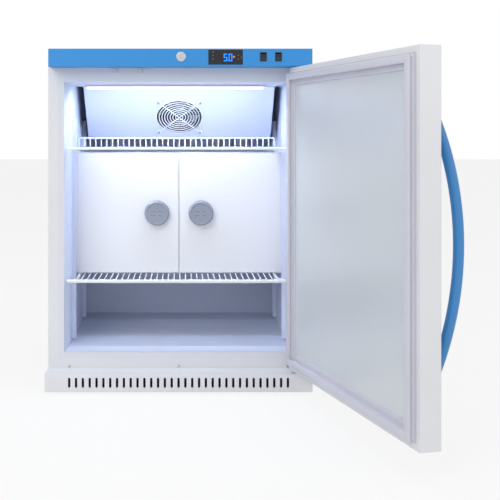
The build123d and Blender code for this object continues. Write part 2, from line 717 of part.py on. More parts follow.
def make_display():
    """Dark window and the circuit board behind it."""
    y0 = Y_FACE - DISPLAY_PROUD
    window = display_block(FIT_CLEARANCE, y0, y0 + DISPLAY_THICKNESS)
    save("display_window", fillet(window.faces().sort_by(Axis.Y)[0].edges(), DISPLAY_EDGE_RADIUS))
    y_board = Y_FACE + BOARD_SETBACK
    board = display_block(BOARD_MARGIN, y_board, y_board + BOARD_THICKNESS)
    module = display_block(MODULE_MARGIN, y0 + DISPLAY_THICKNESS, y_board)
    save("display_board", board.fuse(module))


def rocker_body(x, grow):
    """The body of a rocker switch behind its bezel."""
    half_width = ROCKER_BEZEL_WIDTH / 2 - ROCKER_BEZEL_WALL / 2 + grow
    half_height = ROCKER_BEZEL_HEIGHT / 2 - ROCKER_BEZEL_WALL / 2 + grow
    return block(
        x - half_width,
        x + half_width,
        Y_FACE - OVERCUT if grow else Y_FACE,
        Y_FACE + ROCKER_BODY_DEPTH,
        ROCKER_Z - half_height,
        ROCKER_Z + half_height,
    )


def make_rockers():
    """Two rocker switches: bezel and body, and the rocking cap."""
    bezels = []
    cap_half_width = ROCKER_BEZEL_WIDTH / 2 - ROCKER_BEZEL_WALL - CLEARANCE
    cap_half_height = ROCKER_BEZEL_HEIGHT / 2 - ROCKER_BEZEL_WALL - CLEARANCE - ROCKER_SWING_ROOM
    for name, x in zip(("rocker_power", "rocker_alarm"), ROCKER_X):
        bezel = block(
            x - ROCKER_BEZEL_WIDTH / 2,
            x + ROCKER_BEZEL_WIDTH / 2,
            Y_FACE - ROCKER_BEZEL_PROUD,
            Y_FACE,
            ROCKER_Z - ROCKER_BEZEL_HEIGHT / 2,
            ROCKER_Z + ROCKER_BEZEL_HEIGHT / 2,
        )
        bezel = fillet(bezel.faces().sort_by(Axis.Y)[0].edges(), ROCKER_BEZEL_EDGE_RADIUS)
        well = block(
            x - ROCKER_BEZEL_WIDTH / 2 + ROCKER_BEZEL_WALL,
            x + ROCKER_BEZEL_WIDTH / 2 - ROCKER_BEZEL_WALL,
            Y_FACE - ROCKER_BEZEL_PROUD - OVERCUT,
            Y_FACE + ROCKER_BODY_DEPTH - ROCKER_BEZEL_WALL,
            ROCKER_Z - ROCKER_BEZEL_HEIGHT / 2 + ROCKER_BEZEL_WALL,
            ROCKER_Z + ROCKER_BEZEL_HEIGHT / 2 - ROCKER_BEZEL_WALL,
        )
        bezels.append(bezel.fuse(rocker_body(x, 0)).cut(well))
        outline = Polygon(
            (-ROCKER_VALLEY, 0),
            (-ROCKER_CREST, cap_half_height),
            (ROCKER_FOOT, cap_half_height - ROCKER_FOOT_TAPER),
            (ROCKER_FOOT, ROCKER_FOOT_TAPER - cap_half_height),
            (-ROCKER_CREST, -cap_half_height),
            align=None,
        )
        cap = extrude(Plane.YZ * outline, amount=cap_half_width, both=True)
        pivot_y = Y_FACE + ROCKER_PIVOT_DEPTH
        cap = Pos(x, pivot_y, ROCKER_Z) * cap.rotate(Axis.X, ROCKER_TILT)
        save(name, cap)
    save("rocker_bezels", *bezels)


def make_lock():
    """Lock barrel in the fascia, and its turning plug with the cam."""
    y_flange = Y_FACE - LOCK_FLANGE
    y_end = Y_FACE + LOCK_BODY_LENGTH
    barrel = rod_y(LOCK_X, y_flange, Y_FACE, LOCK_Z, LOCK_FLANGE_RADIUS)
    barrel = fillet(barrel.edges().filter_by(GeomType.CIRCLE).sort_by(Axis.Y)[0], LOCK_EDGE_RADIUS)
    barrel = barrel.fuse(rod_y(LOCK_X, Y_FACE, y_end, LOCK_Z, LOCK_BODY_RADIUS))
    bore = rod_y(LOCK_X, y_flange - OVERCUT, y_end + OVERCUT, LOCK_Z, LOCK_PLUG_RADIUS + FIT_CLEARANCE)
    save("lock_barrel", barrel - bore)
    y_plug = y_flange - LOCK_PLUG_PROUD
    plug = rod_y(LOCK_X, y_plug, Y_LOCK_CAM, LOCK_Z, LOCK_PLUG_RADIUS)
    keyway = block(
        LOCK_X - KEYWAY_WIDTH / 2,
        LOCK_X + KEYWAY_WIDTH / 2,
        y_plug - OVERCUT,
        y_plug + KEYWAY_DEPTH,
        LOCK_Z - KEYWAY_HEIGHT / 2,
        LOCK_Z + KEYWAY_HEIGHT / 2,
    )
    cam = block(
        LOCK_X,
        LOCK_X + LOCK_CAM_REACH,
        Y_LOCK_CAM - LOCK_CAM_SHEET / 2,
        Y_LOCK_CAM + LOCK_CAM_SHEET / 2,
        LOCK_Z - LOCK_CAM_WIDTH / 2,
        LOCK_Z + LOCK_CAM_WIDTH / 2,
    )
    tip = cam.edges().filter_by(Axis.Y).group_by(Axis.X)[-1]
    save("lock_plug", plug.cut(keyway).fuse(fillet(tip, LOCK_CAM_TIP_RADIUS)))


def make_kick_plate():
    """Slotted plinth panel that stands proud under the door."""
    shell = block(-HALF_WIDTH, HALF_WIDTH, Y_FACE, Y_FRAME, FLOOR_GAP, KICK_TOP)
    front_top = shell.edges().filter_by(Axis.X).group_by(Axis.Y)[0].sort_by(Axis.Z)[-1]
    shell = fillet(front_top, KICK_EDGE_RADIUS)
    hollow = block(
        -HALF_WIDTH + KICK_SHEET,
        HALF_WIDTH - KICK_SHEET,
        Y_FACE + KICK_SHEET,
        Y_FRAME + OVERCUT,
        FLOOR_GAP - OVERCUT,
        KICK_TOP - KICK_SHEET,
    )
    straight = (KICK_SLOT_HEIGHT - KICK_SLOT_WIDTH) / 2
    z_slot = FLOOR_GAP + KICK_SLOT_RISE
    slots = []
    for index in range(KICK_SLOT_COUNT):
        x = (index - (KICK_SLOT_COUNT - 1) / 2) * KICK_SLOT_PITCH
        half = KICK_SLOT_WIDTH / 2
        y0, y1 = Y_FACE - OVERCUT, Y_FACE + KICK_SHEET + OVERCUT
        slots.append(block(x - half, x + half, y0, y1, z_slot - straight, z_slot + straight))
        slots.append(rod_y(x, y0, y1, z_slot - straight, half))
        slots.append(rod_y(x, y0, y1, z_slot + straight, half))
    save("kick_plate", shell.cut(hollow, *slots))


def make_hinges():
    """Upper and lower hinge brackets with their pins, and the door's bushings."""
    x0, x1 = HINGE_X - HINGE_ARM, HALF_WIDTH - HINGE_SIDE_INSET
    y0 = Y_FACE + HINGE_PLATE_INSET
    bore_radius = HINGE_PIN_RADIUS + FIT_CLEARANCE
    z_low = KICK_TOP + HINGE_PLATE
    low_plate = block(x0, x1, y0, Y_FRAME, KICK_TOP, z_low)
    leg_x0 = DOOR_HALF_WIDTH - GASKET_INSET + HINGE_LEG_GAP
    low_leg = block(leg_x0, x1, Y_FRAME - HINGE_LEG_SHEET, Y_FRAME, KICK_TOP, z_low + HINGE_LEG_HEIGHT)
    z_high = FASCIA_BOTTOM + FASCIA_WALL
    z_high_top = z_high + HINGE_PLATE
    x_high = HALF_WIDTH - FASCIA_WALL
    high_plate = block(x0, x_high, y0, Y_FRAME, z_high, z_high_top)
    high_leg = block(x0, x_high, Y_FRAME - HINGE_PLATE, Y_FRAME, z_high, WORKTOP_BOTTOM - HINGE_LEG_GAP)
    low_hole = rod_z(HINGE_X, HINGE_Y, KICK_TOP - OVERCUT, z_low + OVERCUT, bore_radius)
    high_hole = rod_z(HINGE_X, HINGE_Y, z_high - OVERCUT, z_high_top + OVERCUT, bore_radius)
    save("hinge_bracket_lower", low_plate.fuse(low_leg).cut(low_hole))
    save("hinge_bracket_upper", high_plate.fuse(high_leg).cut(high_hole))
    reach = BUSHING_LENGTH - BUSHING_END_GAP
    low_pin = rod_z(HINGE_X, HINGE_Y, KICK_TOP, DOOR_BOTTOM + reach, HINGE_PIN_RADIUS)
    low_collar = rod_z(HINGE_X, HINGE_Y, z_low, z_low + HINGE_COLLAR, HINGE_COLLAR_RADIUS)
    high_pin = rod_z(HINGE_X, HINGE_Y, DOOR_TOP - reach, z_high_top, HINGE_PIN_RADIUS)
    high_head = rod_z(HINGE_X, HINGE_Y, z_high_top, z_high_top + HINGE_HEAD, HINGE_COLLAR_RADIUS)
    save("hinge_pins", low_pin.fuse(low_collar), high_pin.fuse(high_head))
    bushings = []
    for z0, z1 in bushing_spans():
        outer = rod_z(HINGE_X, HINGE_Y, z0, z1, BUSHING_RADIUS)
        bore = rod_z(HINGE_X, HINGE_Y, z0 - OVERCUT, z1 + OVERCUT, bore_radius)
        bushings.append(turned_open(outer - bore))
    save("hinge_bushings", *bushings)


def bushing_spans():
    """The heights of the lower and the upper bushing."""
    return (DOOR_BOTTOM, DOOR_BOTTOM + BUSHING_LENGTH), (DOOR_TOP - BUSHING_LENGTH, DOOR_TOP)


def door_block(inset, y0, y1):
    """A block with the door's outline, drawn in by inset."""
    half = DOOR_HALF_WIDTH - inset
    return block(-half, half, y0, y1, DOOR_BOTTOM + inset, DOOR_TOP - inset)


def make_door():
    """Main door: skin, insulation, inner panel, gasket and handle."""
    bushings = [rod_z(HINGE_X, HINGE_Y, z0, z1, BUSHING_RADIUS) for z0, z1 in bushing_spans()]
    keeper = lock_slot(DOOR_TOP - LOCK_SLOT_DEPTH, DOOR_TOP + OVERCUT)
    skin = door_block(0, Y_FACE, Y_DOOR_INNER)
    skin = fillet(skin.faces().sort_by(Axis.Y)[0].edges(), DOOR_EDGE_RADIUS)
    hollow = door_block(DOOR_SHEET, Y_FACE + DOOR_SHEET, Y_DOOR_INNER - DOOR_SHEET)
    window = door_block(DOOR_RETURN, Y_DOOR_INNER - 2 * DOOR_SHEET, Y_DOOR_INNER + OVERCUT)
    y_middle = Y_FACE + DOOR_THICKNESS / 2
    hole_radius = HANDLE_SCREW_RADIUS + FIT_CLEARANCE
    handle_holes = [
        rod_y(handle_x(), Y_FACE - OVERCUT, y_middle + OVERCUT, z, hole_radius) for z in handle_feet()
    ]
    save("door_skin", turned_open(skin.cut(hollow, window, keeper, *bushings, *handle_holes)))
    panel_face = Y_DOOR_INNER
    panel_back = panel_face - DOOR_PANEL_THICKNESS
    foam = door_block(DOOR_SHEET, Y_FACE + DOOR_SHEET, panel_back)
    screws = [
        rod_y(handle_x(), Y_FACE - HANDLE_SCREW_PROUD, y_middle, z, HANDLE_SCREW_RADIUS)
        for z in handle_feet()
    ]
    save("door_foam", turned_open(foam.cut(keeper, *bushings, *handle_holes)))
    panel = door_block(DOOR_RETURN, panel_back, panel_face)
    save("door_inner_panel", turned_open(panel))
    make_gasket()
    save("handle_screws", *[turned_open(screw) for screw in screws])
    make_handle()


def make_gasket():
    """Magnetic seal: a tall bulb around the door and a flat lip inside it."""
    y1 = Y_DOOR_INNER + GASKET_HEIGHT
    bulb = door_block(GASKET_INSET, Y_DOOR_INNER, y1)
    bulb_inset = GASKET_INSET + GASKET_BULB
    bulb_hole = door_block(bulb_inset, Y_DOOR_INNER - OVERCUT, y1 + OVERCUT)
    lip = door_block(bulb_inset, Y_DOOR_INNER, Y_DOOR_INNER + GASKET_LIP_HEIGHT)
    lip_hole = door_block(bulb_inset + GASKET_LIP, Y_DOOR_INNER - OVERCUT, y1 + OVERCUT)
    save("door_gasket", turned_open((bulb - bulb_hole).fuse(lip - lip_hole)))


def handle_x():
    """The handle's distance from the door's centre, at its free edge."""
    return -DOOR_HALF_WIDTH + HANDLE_FROM_EDGE


def handle_feet():
    """The two heights at which the handle's centre line meets the door's face."""
    middle = (DOOR_TOP + DOOR_BOTTOM) / 2
    fall = HANDLE_ARC_RADIUS - HANDLE_STAND_OFF
    half = math.sqrt(HANDLE_ARC_RADIUS**2 - fall**2)
    return middle - half, middle + half


def make_handle():
    """Bowed tube whose two ends stand on the door's face."""
    low, high = handle_feet()
    middle = (low + high) / 2
    centre_y = Y_FACE - HANDLE_STAND_OFF + HANDLE_ARC_RADIUS
    half_angle = math.asin((high - low) / 2 / HANDLE_ARC_RADIUS) + math.radians(HANDLE_OVERRUN)
    section = Plane(
        origin=(
            handle_x(),
            centre_y - HANDLE_ARC_RADIUS * math.cos(half_angle),
            middle - HANDLE_ARC_RADIUS * math.sin(half_angle),
        ),
        x_dir=(1, 0, 0),
        z_dir=(0, -math.sin(half_angle), math.cos(half_angle)),
    )
    axis = Axis((handle_x(), centre_y, middle), (-1, 0, 0))
    bow = revolve(section * Circle(HANDLE_RADIUS), axis=axis, revolution_arc=2 * math.degrees(half_angle))
    behind_face = block(
        -CABINET_WIDTH, CABINET_WIDTH, Y_FACE, Y_FACE + CABINET_DEPTH, 0, CABINET_HEIGHT
    )
    screw_wells = [
        rod_y(handle_x(), Y_FACE - HANDLE_SCREW_PROUD, Y_FACE, z, HANDLE_SCREW_RADIUS) for z in (low, high)
    ]
    save("door_handle", turned_open(bow.cut(behind_face, *screw_wells)))


def make_light_bar():
    """Slim lamp under the ceiling, just inside the mouth."""
    y0 = from_depth(LIGHT_BAR_SETBACK)
    y1 = y0 + LIGHT_BAR_WIDTH
    z1 = CAVITY_CEILING - CLEARANCE
    z_lens = z1 - LIGHT_HOUSING_HEIGHT
    housing = block(
        LIGHT_HOUSING_LEFT_GAP - LINER_HALF_WIDTH,
        LINER_HALF_WIDTH - LIGHT_HOUSING_RIGHT_GAP,
        y0,
        y1,
        z_lens,
        z1,
    )
    save("light_bar_housing", housing)
    lens = block(
        LIGHT_LENS_LEFT_GAP - LINER_HALF_WIDTH,
        LINER_HALF_WIDTH - LIGHT_LENS_RIGHT_GAP,
        y0 + LIGHT_LENS_INSET,
        y1 - LIGHT_LENS_INSET,
        z_lens - LIGHT_LENS_HEIGHT,
        z_lens,
    )
    lower = lens.faces().sort_by(Axis.Z)[0].edges()
    save("light_bar_lens", fillet(lower, LIGHT_LENS_EDGE_RADIUS))


def axial_fan(size, depth, hole_spacing):
    """A square axial fan in its own frame: frame with motor mount, and rotor. Air leaves at z = 0."""
    bore = size / 2 - FAN_RIM
    hub = size * FAN_HUB_SHARE
    middle = Pos(0, 0, -depth / 2)
    frame = middle * Box(size, size, depth)
    frame = fillet(frame.edges().filter_by(Axis.Z), FAN_CORNER_RADIUS)
    frame -= middle * Cylinder(bore, 2 * depth)
    mount_place = Pos(0, 0, -depth + FAN_MOUNT_SHEET / 2)
    mount = mount_place * Cylinder(hub, FAN_MOUNT_SHEET)
    for angle in (0, 90):
        mount += Rot(0, 0, angle) * mount_place * Box(2 * bore + FAN_RIM, FAN_STRUT, FAN_MOUNT_SHEET)
    shaft = middle * Cylinder(FAN_SHAFT_RADIUS, depth - 2 * FAN_MOUNT_SHEET)
    blade_depth = depth * FAN_BLADE_DEPTH_SHARE
    rotor_place = Pos(0, 0, -depth * FAN_ROTOR_PLACE_SHARE)
    rotor = rotor_place * Cylinder(hub, blade_depth + FAN_MOUNT_SHEET)
    sweep_disc = rotor_place * Cylinder(bore - FAN_TIP_GAP, blade_depth)
    length = bore - hub
    for index in range(FAN_BLADE_COUNT):
        blade = Rot(FAN_BLADE_TILT, 0, 0) * Box(length, size * FAN_BLADE_CHORD_SHARE, FAN_BLADE_SHEET)
        turn = Rot(0, 0, index * 360 / FAN_BLADE_COUNT)
        rotor += (turn * rotor_place * Pos(hub + length / 2 - OVERCUT, 0, 0) * blade) & sweep_disc
    rotor -= middle * Cylinder(FAN_SHAFT_RADIUS + FIT_CLEARANCE, depth)
    hole = Cylinder(FAN_SCREW_RADIUS + FIT_CLEARANCE, 2 * depth)
    holes = [Pos(x, y, -depth / 2) * hole for x, y in square_corners(hole_spacing)]
    return frame.fuse(mount, shaft).cut(*holes), rotor


def square_corners(spacing):
    """The four corners of a square hole pattern."""
    return [(x * spacing / 2, y * spacing / 2) for x in (-1, 1) for y in (-1, 1)]


def make_evaporator():
    """Cold side: sloped cover, fan with its wire guard, finned coil and drip tray."""
    half = COVER_HALF_WIDTH
    slope = math.radians(COVER_SLOPE)
    across, along = COVER_SHEET * math.sin(slope), COVER_SHEET * math.cos(slope)
    headroom = ceiling_height(FAN_CENTRE_SETBACK + across) - CLEARANCE - FAN_CENTRE_HEIGHT - along
    cover_up_slope = headroom / (math.sin(slope) + CEILING_SLOPE * math.cos(slope))
    plate = block(-half, half, -COVER_DOWN_SLOPE, cover_up_slope, -COVER_SHEET, 0)
    fan_hole = Cylinder(EVAPORATOR_FAN_SIZE / 2 - FAN_RIM, 4 * COVER_SHEET)
    corners = square_corners(EVAPORATOR_FAN_HOLES)
    screw_hole = Cylinder(FAN_SCREW_RADIUS + FIT_CLEARANCE, 4 * COVER_SHEET)
    screw_holes = [Pos(x, y, 0) * screw_hole for x, y in corners]
    panel = FAN_PLANE.from_local_coords(plate.cut(fan_hole, *screw_holes))
    foot_y = from_depth(FAN_CENTRE_SETBACK) + COVER_DOWN_SLOPE * math.cos(slope)
    foot_z = FAN_CENTRE_HEIGHT - COVER_DOWN_SLOPE * math.sin(slope)
    tray_plate = block(
        -half, half, foot_y, Y_CAVITY_BACK - COVER_BACK_GAP, foot_z, foot_z + COVER_SHEET
    )
    save("evaporator_cover", panel.fuse(tray_plate))
    frame, rotor = axial_fan(EVAPORATOR_FAN_SIZE, EVAPORATOR_FAN_DEPTH, EVAPORATOR_FAN_HOLES)
    behind = Pos(0, 0, -COVER_SHEET)
    save("evaporator_fan_frame", FAN_PLANE.from_local_coords(behind * frame))
    save("evaporator_fan_rotor", FAN_PLANE.from_local_coords(behind * rotor))
    make_fan_guard(corners)
    make_coil(foot_z)


def make_fan_guard(corners):
    """Round wire guard on two crossed wires, and its four screws."""
    level = GUARD_WIRE_RADIUS + CLEARANCE
    rings = [
        Pos(0, 0, level) * Torus(GUARD_OUTER_RADIUS - index * GUARD_RING_PITCH, GUARD_WIRE_RADIUS)
        for index in range(GUARD_RING_COUNT)
    ]
    spoke_length = 2 * (math.hypot(*corners[0]) - GUARD_EYE_RADIUS + FAN_SCREW_RADIUS)
    spoke = Rot(0, 90, 0) * Cylinder(GUARD_WIRE_RADIUS, spoke_length)
    spokes = [Rot(0, 0, angle) * Pos(0, 0, level + GUARD_SPOKE_LIFT) * spoke for angle in (45, 135)]
    eye_height = 2 * GUARD_WIRE_RADIUS
    eye_hole = Cylinder(FAN_SCREW_RADIUS + FIT_CLEARANCE, 2 * eye_height)
    eye = Cylinder(GUARD_EYE_RADIUS, eye_height) - eye_hole
    eyes = [Pos(x, y, level + GUARD_EYE_LIFT) * eye for x, y in corners]
    save("fan_guard", FAN_PLANE.from_local_coords(joined(rings + spokes + eyes)))
    seat = level + GUARD_EYE_LIFT + eye_height / 2
    screws = []
    for x, y in corners:
        head = Pos(x, y, seat + FAN_SCREW_HEAD / 2) * Cylinder(FAN_SCREW_HEAD_RADIUS, FAN_SCREW_HEAD)
        shank = Pos(x, y, seat - FAN_SCREW_LENGTH / 2) * Cylinder(FAN_SCREW_RADIUS, FAN_SCREW_LENGTH)
        screws.append(FAN_PLANE.from_local_coords(head.fuse(shank)))
    save("cabinet_screws", *screws, *frame_screws())


def finned_block(half_width, y0, y1, z0, z1, pitch, tube_rows):
    """Thin fins across a set of round tubes."""
    count = int(2 * half_width / pitch) + 1
    start = -(count - 1) * pitch / 2
    half_fin = COIL_FIN_SHEET / 2
    places = [start + index * pitch for index in range(count)]
    fins = [block(x - half_fin, x + half_fin, y0, y1, z0, z1) for x in places]
    reach = half_width + COIL_TUBE_END
    tubes = [rod_x(-reach, reach, y, z, COIL_TUBE_RADIUS) for y, z in tube_rows]
    return joined(tubes + fins)


def make_coil(tray_z):
    """Finned evaporator standing in its drip tray."""
    y1 = Y_CAVITY_BACK - COIL_BACK_GAP
    y0 = y1 - COIL_DEPTH
    z0 = tray_z + COVER_SHEET
    half = COIL_HALF_WIDTH + TRAY_END_GAP
    tray_y0, tray_y1 = y0 - TRAY_FRONT_GAP, y1 + TRAY_BACK_GAP
    tray = block(-half, half, tray_y0, tray_y1, z0, z0 + TRAY_HEIGHT)
    inside = block(
        TRAY_WALL - half,
        half - TRAY_WALL,
        tray_y0 + TRAY_WALL,
        tray_y1 - TRAY_WALL,
        z0 + TRAY_WALL,
        z0 + TRAY_HEIGHT + OVERCUT,
    )
    save("drip_tray", tray - inside)
    z_coil = z0 + TRAY_WALL
    z_top = z_coil + COIL_HEIGHT
    rows = [
        (y0 + COIL_DEPTH * across, z_coil + COIL_HEIGHT * up)
        for across in (0.2, 0.5, 0.8)
        for up in (0.25, 0.5, 0.75)
    ]
    save("evaporator_coil", finned_block(COIL_HALF_WIDTH, y0, y1, z_coil, z_top, COIL_FIN_PITCH, rows))


def standard_places():
    """Each shelf standard: side, and the depth at which it starts."""
    setbacks = (STANDARD_FRONT_SETBACK, STANDARD_REAR_SETBACK)
    return [(side, setback) for side in (-1, 1) for setback in setbacks]


def make_standards():
    """Four slotted uprights on the side walls, with a clip under each shelf corner."""
    standards, clips = [], []
    for side, setback in standard_places():
        wall = liner_half_width(setback + STANDARD_WIDTH)
        face = wall - STANDARD_PROUD
        y0 = from_depth(setback)
        y1 = y0 + STANDARD_WIDTH
        foot = floor_height(setback + STANDARD_WIDTH) + STANDARD_FOOT_GAP
        upright = block(side * face, side * wall, y0, y1, foot, STANDARD_TOP)
        y_slot = (y0 + y1 - STANDARD_SLOT_WIDTH) / 2
        slot_x0, slot_x1 = side * (face - OVERCUT), side * (face + STANDARD_SLOT_DEPTH)
        slots = []
        for index in range(int((STANDARD_TOP - foot) / STANDARD_SLOT_PITCH) - 1):
            z0 = foot + STANDARD_SLOT_RISE + STANDARD_SLOT_PITCH * index
            z1 = z0 + STANDARD_SLOT_HEIGHT
            slots.append(block(slot_x0, slot_x1, y_slot, y_slot + STANDARD_SLOT_WIDTH, z0, z1))
        standards.append(upright.cut(*slots))
        inner = SHELF_RAIL_HALF_WIDTH + side * SHELF_CENTRE_X - SHELF_RAIL_RADIUS
        for top in (LOWER_SHELF_TOP, UPPER_SHELF_TOP):
            z1 = rail_height(top) - SHELF_RAIL_RADIUS
            z0 = z1 - CLIP_THICKNESS
            clips.append(block(side * inner, side * face, y0 + CLIP_INSET, y1 - CLIP_INSET, z0, z1))
    save("shelf_standards", *standards)
    save("shelf_clips", *clips)


def rail_height(shelf_top):
    """The height of a shelf's side rails, which lie under its wires."""
    return shelf_top - 2 * SHELF_WIRE_RADIUS - SHELF_RAIL_RADIUS + SHELF_WELD


def shelf_base(shelf_top, bar_radius):
    """What both shelves share: front bar, side rails and the rear bar."""
    z_rail = rail_height(shelf_top)
    z_bar = shelf_top - bar_radius
    front, rear = from_depth(SHELF_FRONT_SETBACK), from_depth(SHELF_REAR_SETBACK)
    left, right = SHELF_CENTRE_X - SHELF_HALF_WIDTH, SHELF_CENTRE_X + SHELF_HALF_WIDTH
    rail_left, rail_right = SHELF_CENTRE_X - SHELF_RAIL_HALF_WIDTH, SHELF_CENTRE_X + SHELF_RAIL_HALF_WIDTH
    pieces = [rod_x(left, right, front, z_bar, bar_radius)]
    pieces += [rod_y(x, front, rear, z_rail, SHELF_RAIL_RADIUS) for x in (rail_left, rail_right)]
    pieces.append(rod_x(rail_left, rail_right, rear, z_rail, SHELF_RAIL_RADIUS))
    return pieces


def make_shelves():
    """Lower wire shelf, and the upper one with its raised guard."""
    front, rear = from_depth(SHELF_FRONT_SETBACK), from_depth(SHELF_REAR_SETBACK)
    step = 2 * SHELF_RAIL_HALF_WIDTH / (SHELF_WIRE_COUNT - 1)
    start = SHELF_CENTRE_X - SHELF_RAIL_HALF_WIDTH
    z_wire = LOWER_SHELF_TOP - SHELF_WIRE_RADIUS
    lower = shelf_base(LOWER_SHELF_TOP, SHELF_BAR_RADIUS)
    places = [start + index * step for index in range(SHELF_WIRE_COUNT)]
    lower += [rod_y(x, front, rear, z_wire, SHELF_WIRE_RADIUS) for x in places]
    middle = (front + rear) / 2
    lower.append(rod_x(places[0], places[-1], middle, rail_height(LOWER_SHELF_TOP), SHELF_RAIL_RADIUS))
    save("lower_shelf", joined(lower))

    z_wire = UPPER_SHELF_TOP - SHELF_WIRE_RADIUS
    guard_y = from_depth(GUARD_SETBACK)
    guard_top = UPPER_SHELF_TOP + GUARD_RISE
    guard_left, guard_right = GUARD_CENTRE_X - GUARD_HALF_WIDTH, GUARD_CENTRE_X + GUARD_HALF_WIDTH
    step = 2 * GUARD_HALF_WIDTH / (SHELF_WIRE_COUNT - 1)
    upper = shelf_base(UPPER_SHELF_TOP, SHELF_RAIL_RADIUS)
    upper.append(rod_x(guard_left, guard_right, guard_y, rail_height(UPPER_SHELF_TOP), GUARD_BAR_RADIUS))
    upper.append(rod_x(guard_left, guard_right, guard_y, guard_top, GUARD_BAR_RADIUS))
    standard_face = liner_half_width(STANDARD_FRONT_SETBACK) - STANDARD_PROUD
    for index in range(SHELF_WIRE_COUNT):
        x = guard_left + index * step
        if abs(x) < standard_face - 2 * SHELF_WIRE_RADIUS:
            upper.append(rod_y(x, front, guard_y, z_wire, SHELF_WIRE_RADIUS))
        upper.append(rod_z(x, guard_y, z_wire, guard_top, SHELF_WIRE_RADIUS))
    save("upper_shelf", joined(upper))


def make_locker():
    """Locker box with riveted hinge pins, on the lower shelf, its two doors and their knobs."""
    half, sheet = LOCKER_HALF_WIDTH, LOCKER_SHEET
    box = block(-half, half, Y_LOCKER_BOX, Y_LOCKER_BACK, LOCKER_BOTTOM, LOCKER_TOP)
    room_z0, room_z1 = LOCKER_BOTTOM + sheet, LOCKER_TOP - sheet
    room_y0, room_y1 = Y_LOCKER_BOX - OVERCUT, Y_LOCKER_BACK - sheet
    rooms = [
        block(side * sheet / 2, side * (half - sheet), room_y0, room_y1, room_z0, room_z1)
        for side in (-1, 1)
    ]
    stile = block(-LOCKER_STILE, LOCKER_STILE, Y_LOCKER_BOX, Y_LOCKER_BOX + sheet, room_z0, room_z1)
    tabs, pins = [], []
    for side in (-1, 1):
        x0, x1 = side * (half - LOCKER_TAB_LENGTH), side * half
        x_pivot, y_tab = side * LOCKER_PIVOT_X, Y_LOCKER_FACE + LOCKER_TAB_SETBACK
        for outer, inward in ((LOCKER_BOTTOM, 1), (LOCKER_TOP, -1)):
            tabs.append(block(x0, x1, y_tab, Y_LOCKER_BOX, outer, outer + inward * sheet))
            tip = outer + inward * LOCKER_PIN_LENGTH
            pins.append(rod_z(x_pivot, LOCKER_PIVOT_Y, outer, tip, LOCKER_PIN_RADIUS))
    save("locker_box", box.cut(*rooms).fuse(stile, *tabs, *pins))
    for name, side in (("left", -1), ("right", 1)):
        make_locker_door(name, side)
        make_knob(name, side)


def make_locker_door(name, side):
    """One overlay door with a rounded hinge edge."""
    edge = LOCKER_DOOR_THICKNESS / 2
    slab = block(
        side * LOCKER_DOOR_SPLIT / 2,
        side * LOCKER_PIVOT_X,
        Y_LOCKER_FACE,
        Y_LOCKER_FACE + LOCKER_DOOR_THICKNESS,
        LOCKER_DOOR_BOTTOM,
        LOCKER_DOOR_TOP,
    )
    rounded = rod_z(side * LOCKER_PIVOT_X, LOCKER_PIVOT_Y, LOCKER_DOOR_BOTTOM, LOCKER_DOOR_TOP, edge)
    bores = [
        rod_z(
            side * LOCKER_PIVOT_X,
            LOCKER_PIVOT_Y,
            end - LOCKER_PIN_LENGTH,
            end + LOCKER_PIN_LENGTH,
            LOCKER_PIN_RADIUS + FIT_CLEARANCE,
        )
        for end in (LOCKER_DOOR_BOTTOM, LOCKER_DOOR_TOP)
    ]
    bore_radius = KNOB_SPINDLE_RADIUS + FIT_CLEARANCE
    spindle = rod_y(side * KNOB_X, Y_LOCKER_FACE - OVERCUT, Y_LOCKER_BOX, KNOB_Z, bore_radius)
    save(f"locker_door_{name}", slab.fuse(rounded).cut(*bores, spindle))


def make_knob(name, side):
    """Round grip on a spindle, with the latch cam behind the door."""
    x = side * KNOB_X
    y0, y1 = Y_LOCKER_FACE - KNOB_HEIGHT, Y_LOCKER_FACE - CLEARANCE
    y_skirt = y1 - KNOB_SKIRT
    skirt = rod_y(x, y_skirt, y1, KNOB_Z, KNOB_RADIUS)
    grip = rod_y(x, y0, y_skirt, KNOB_Z, KNOB_GRIP_RADIUS)
    grip = fillet(grip.edges().filter_by(GeomType.CIRCLE).sort_by(Axis.Y)[0], KNOB_EDGE_RADIUS)
    dish = rod_y(x, y0 - OVERCUT, y0 + KNOB_DISH_DEPTH, KNOB_Z, KNOB_DISH_RADIUS)
    y_cam_end = Y_KNOB_CAM + KNOB_CAM_SHEET
    spindle = rod_y(x, y1, y_cam_end, KNOB_Z, KNOB_SPINDLE_RADIUS)
    half_cam = KNOB_CAM_WIDTH / 2
    z0, z1 = KNOB_Z - half_cam, KNOB_Z + KNOB_CAM_REACH
    cam = block(x - half_cam, x + half_cam, Y_KNOB_CAM, y_cam_end, z0, z1)
    save(f"locker_knob_{name}", skirt.fuse(grip.cut(dish), spindle, cam))


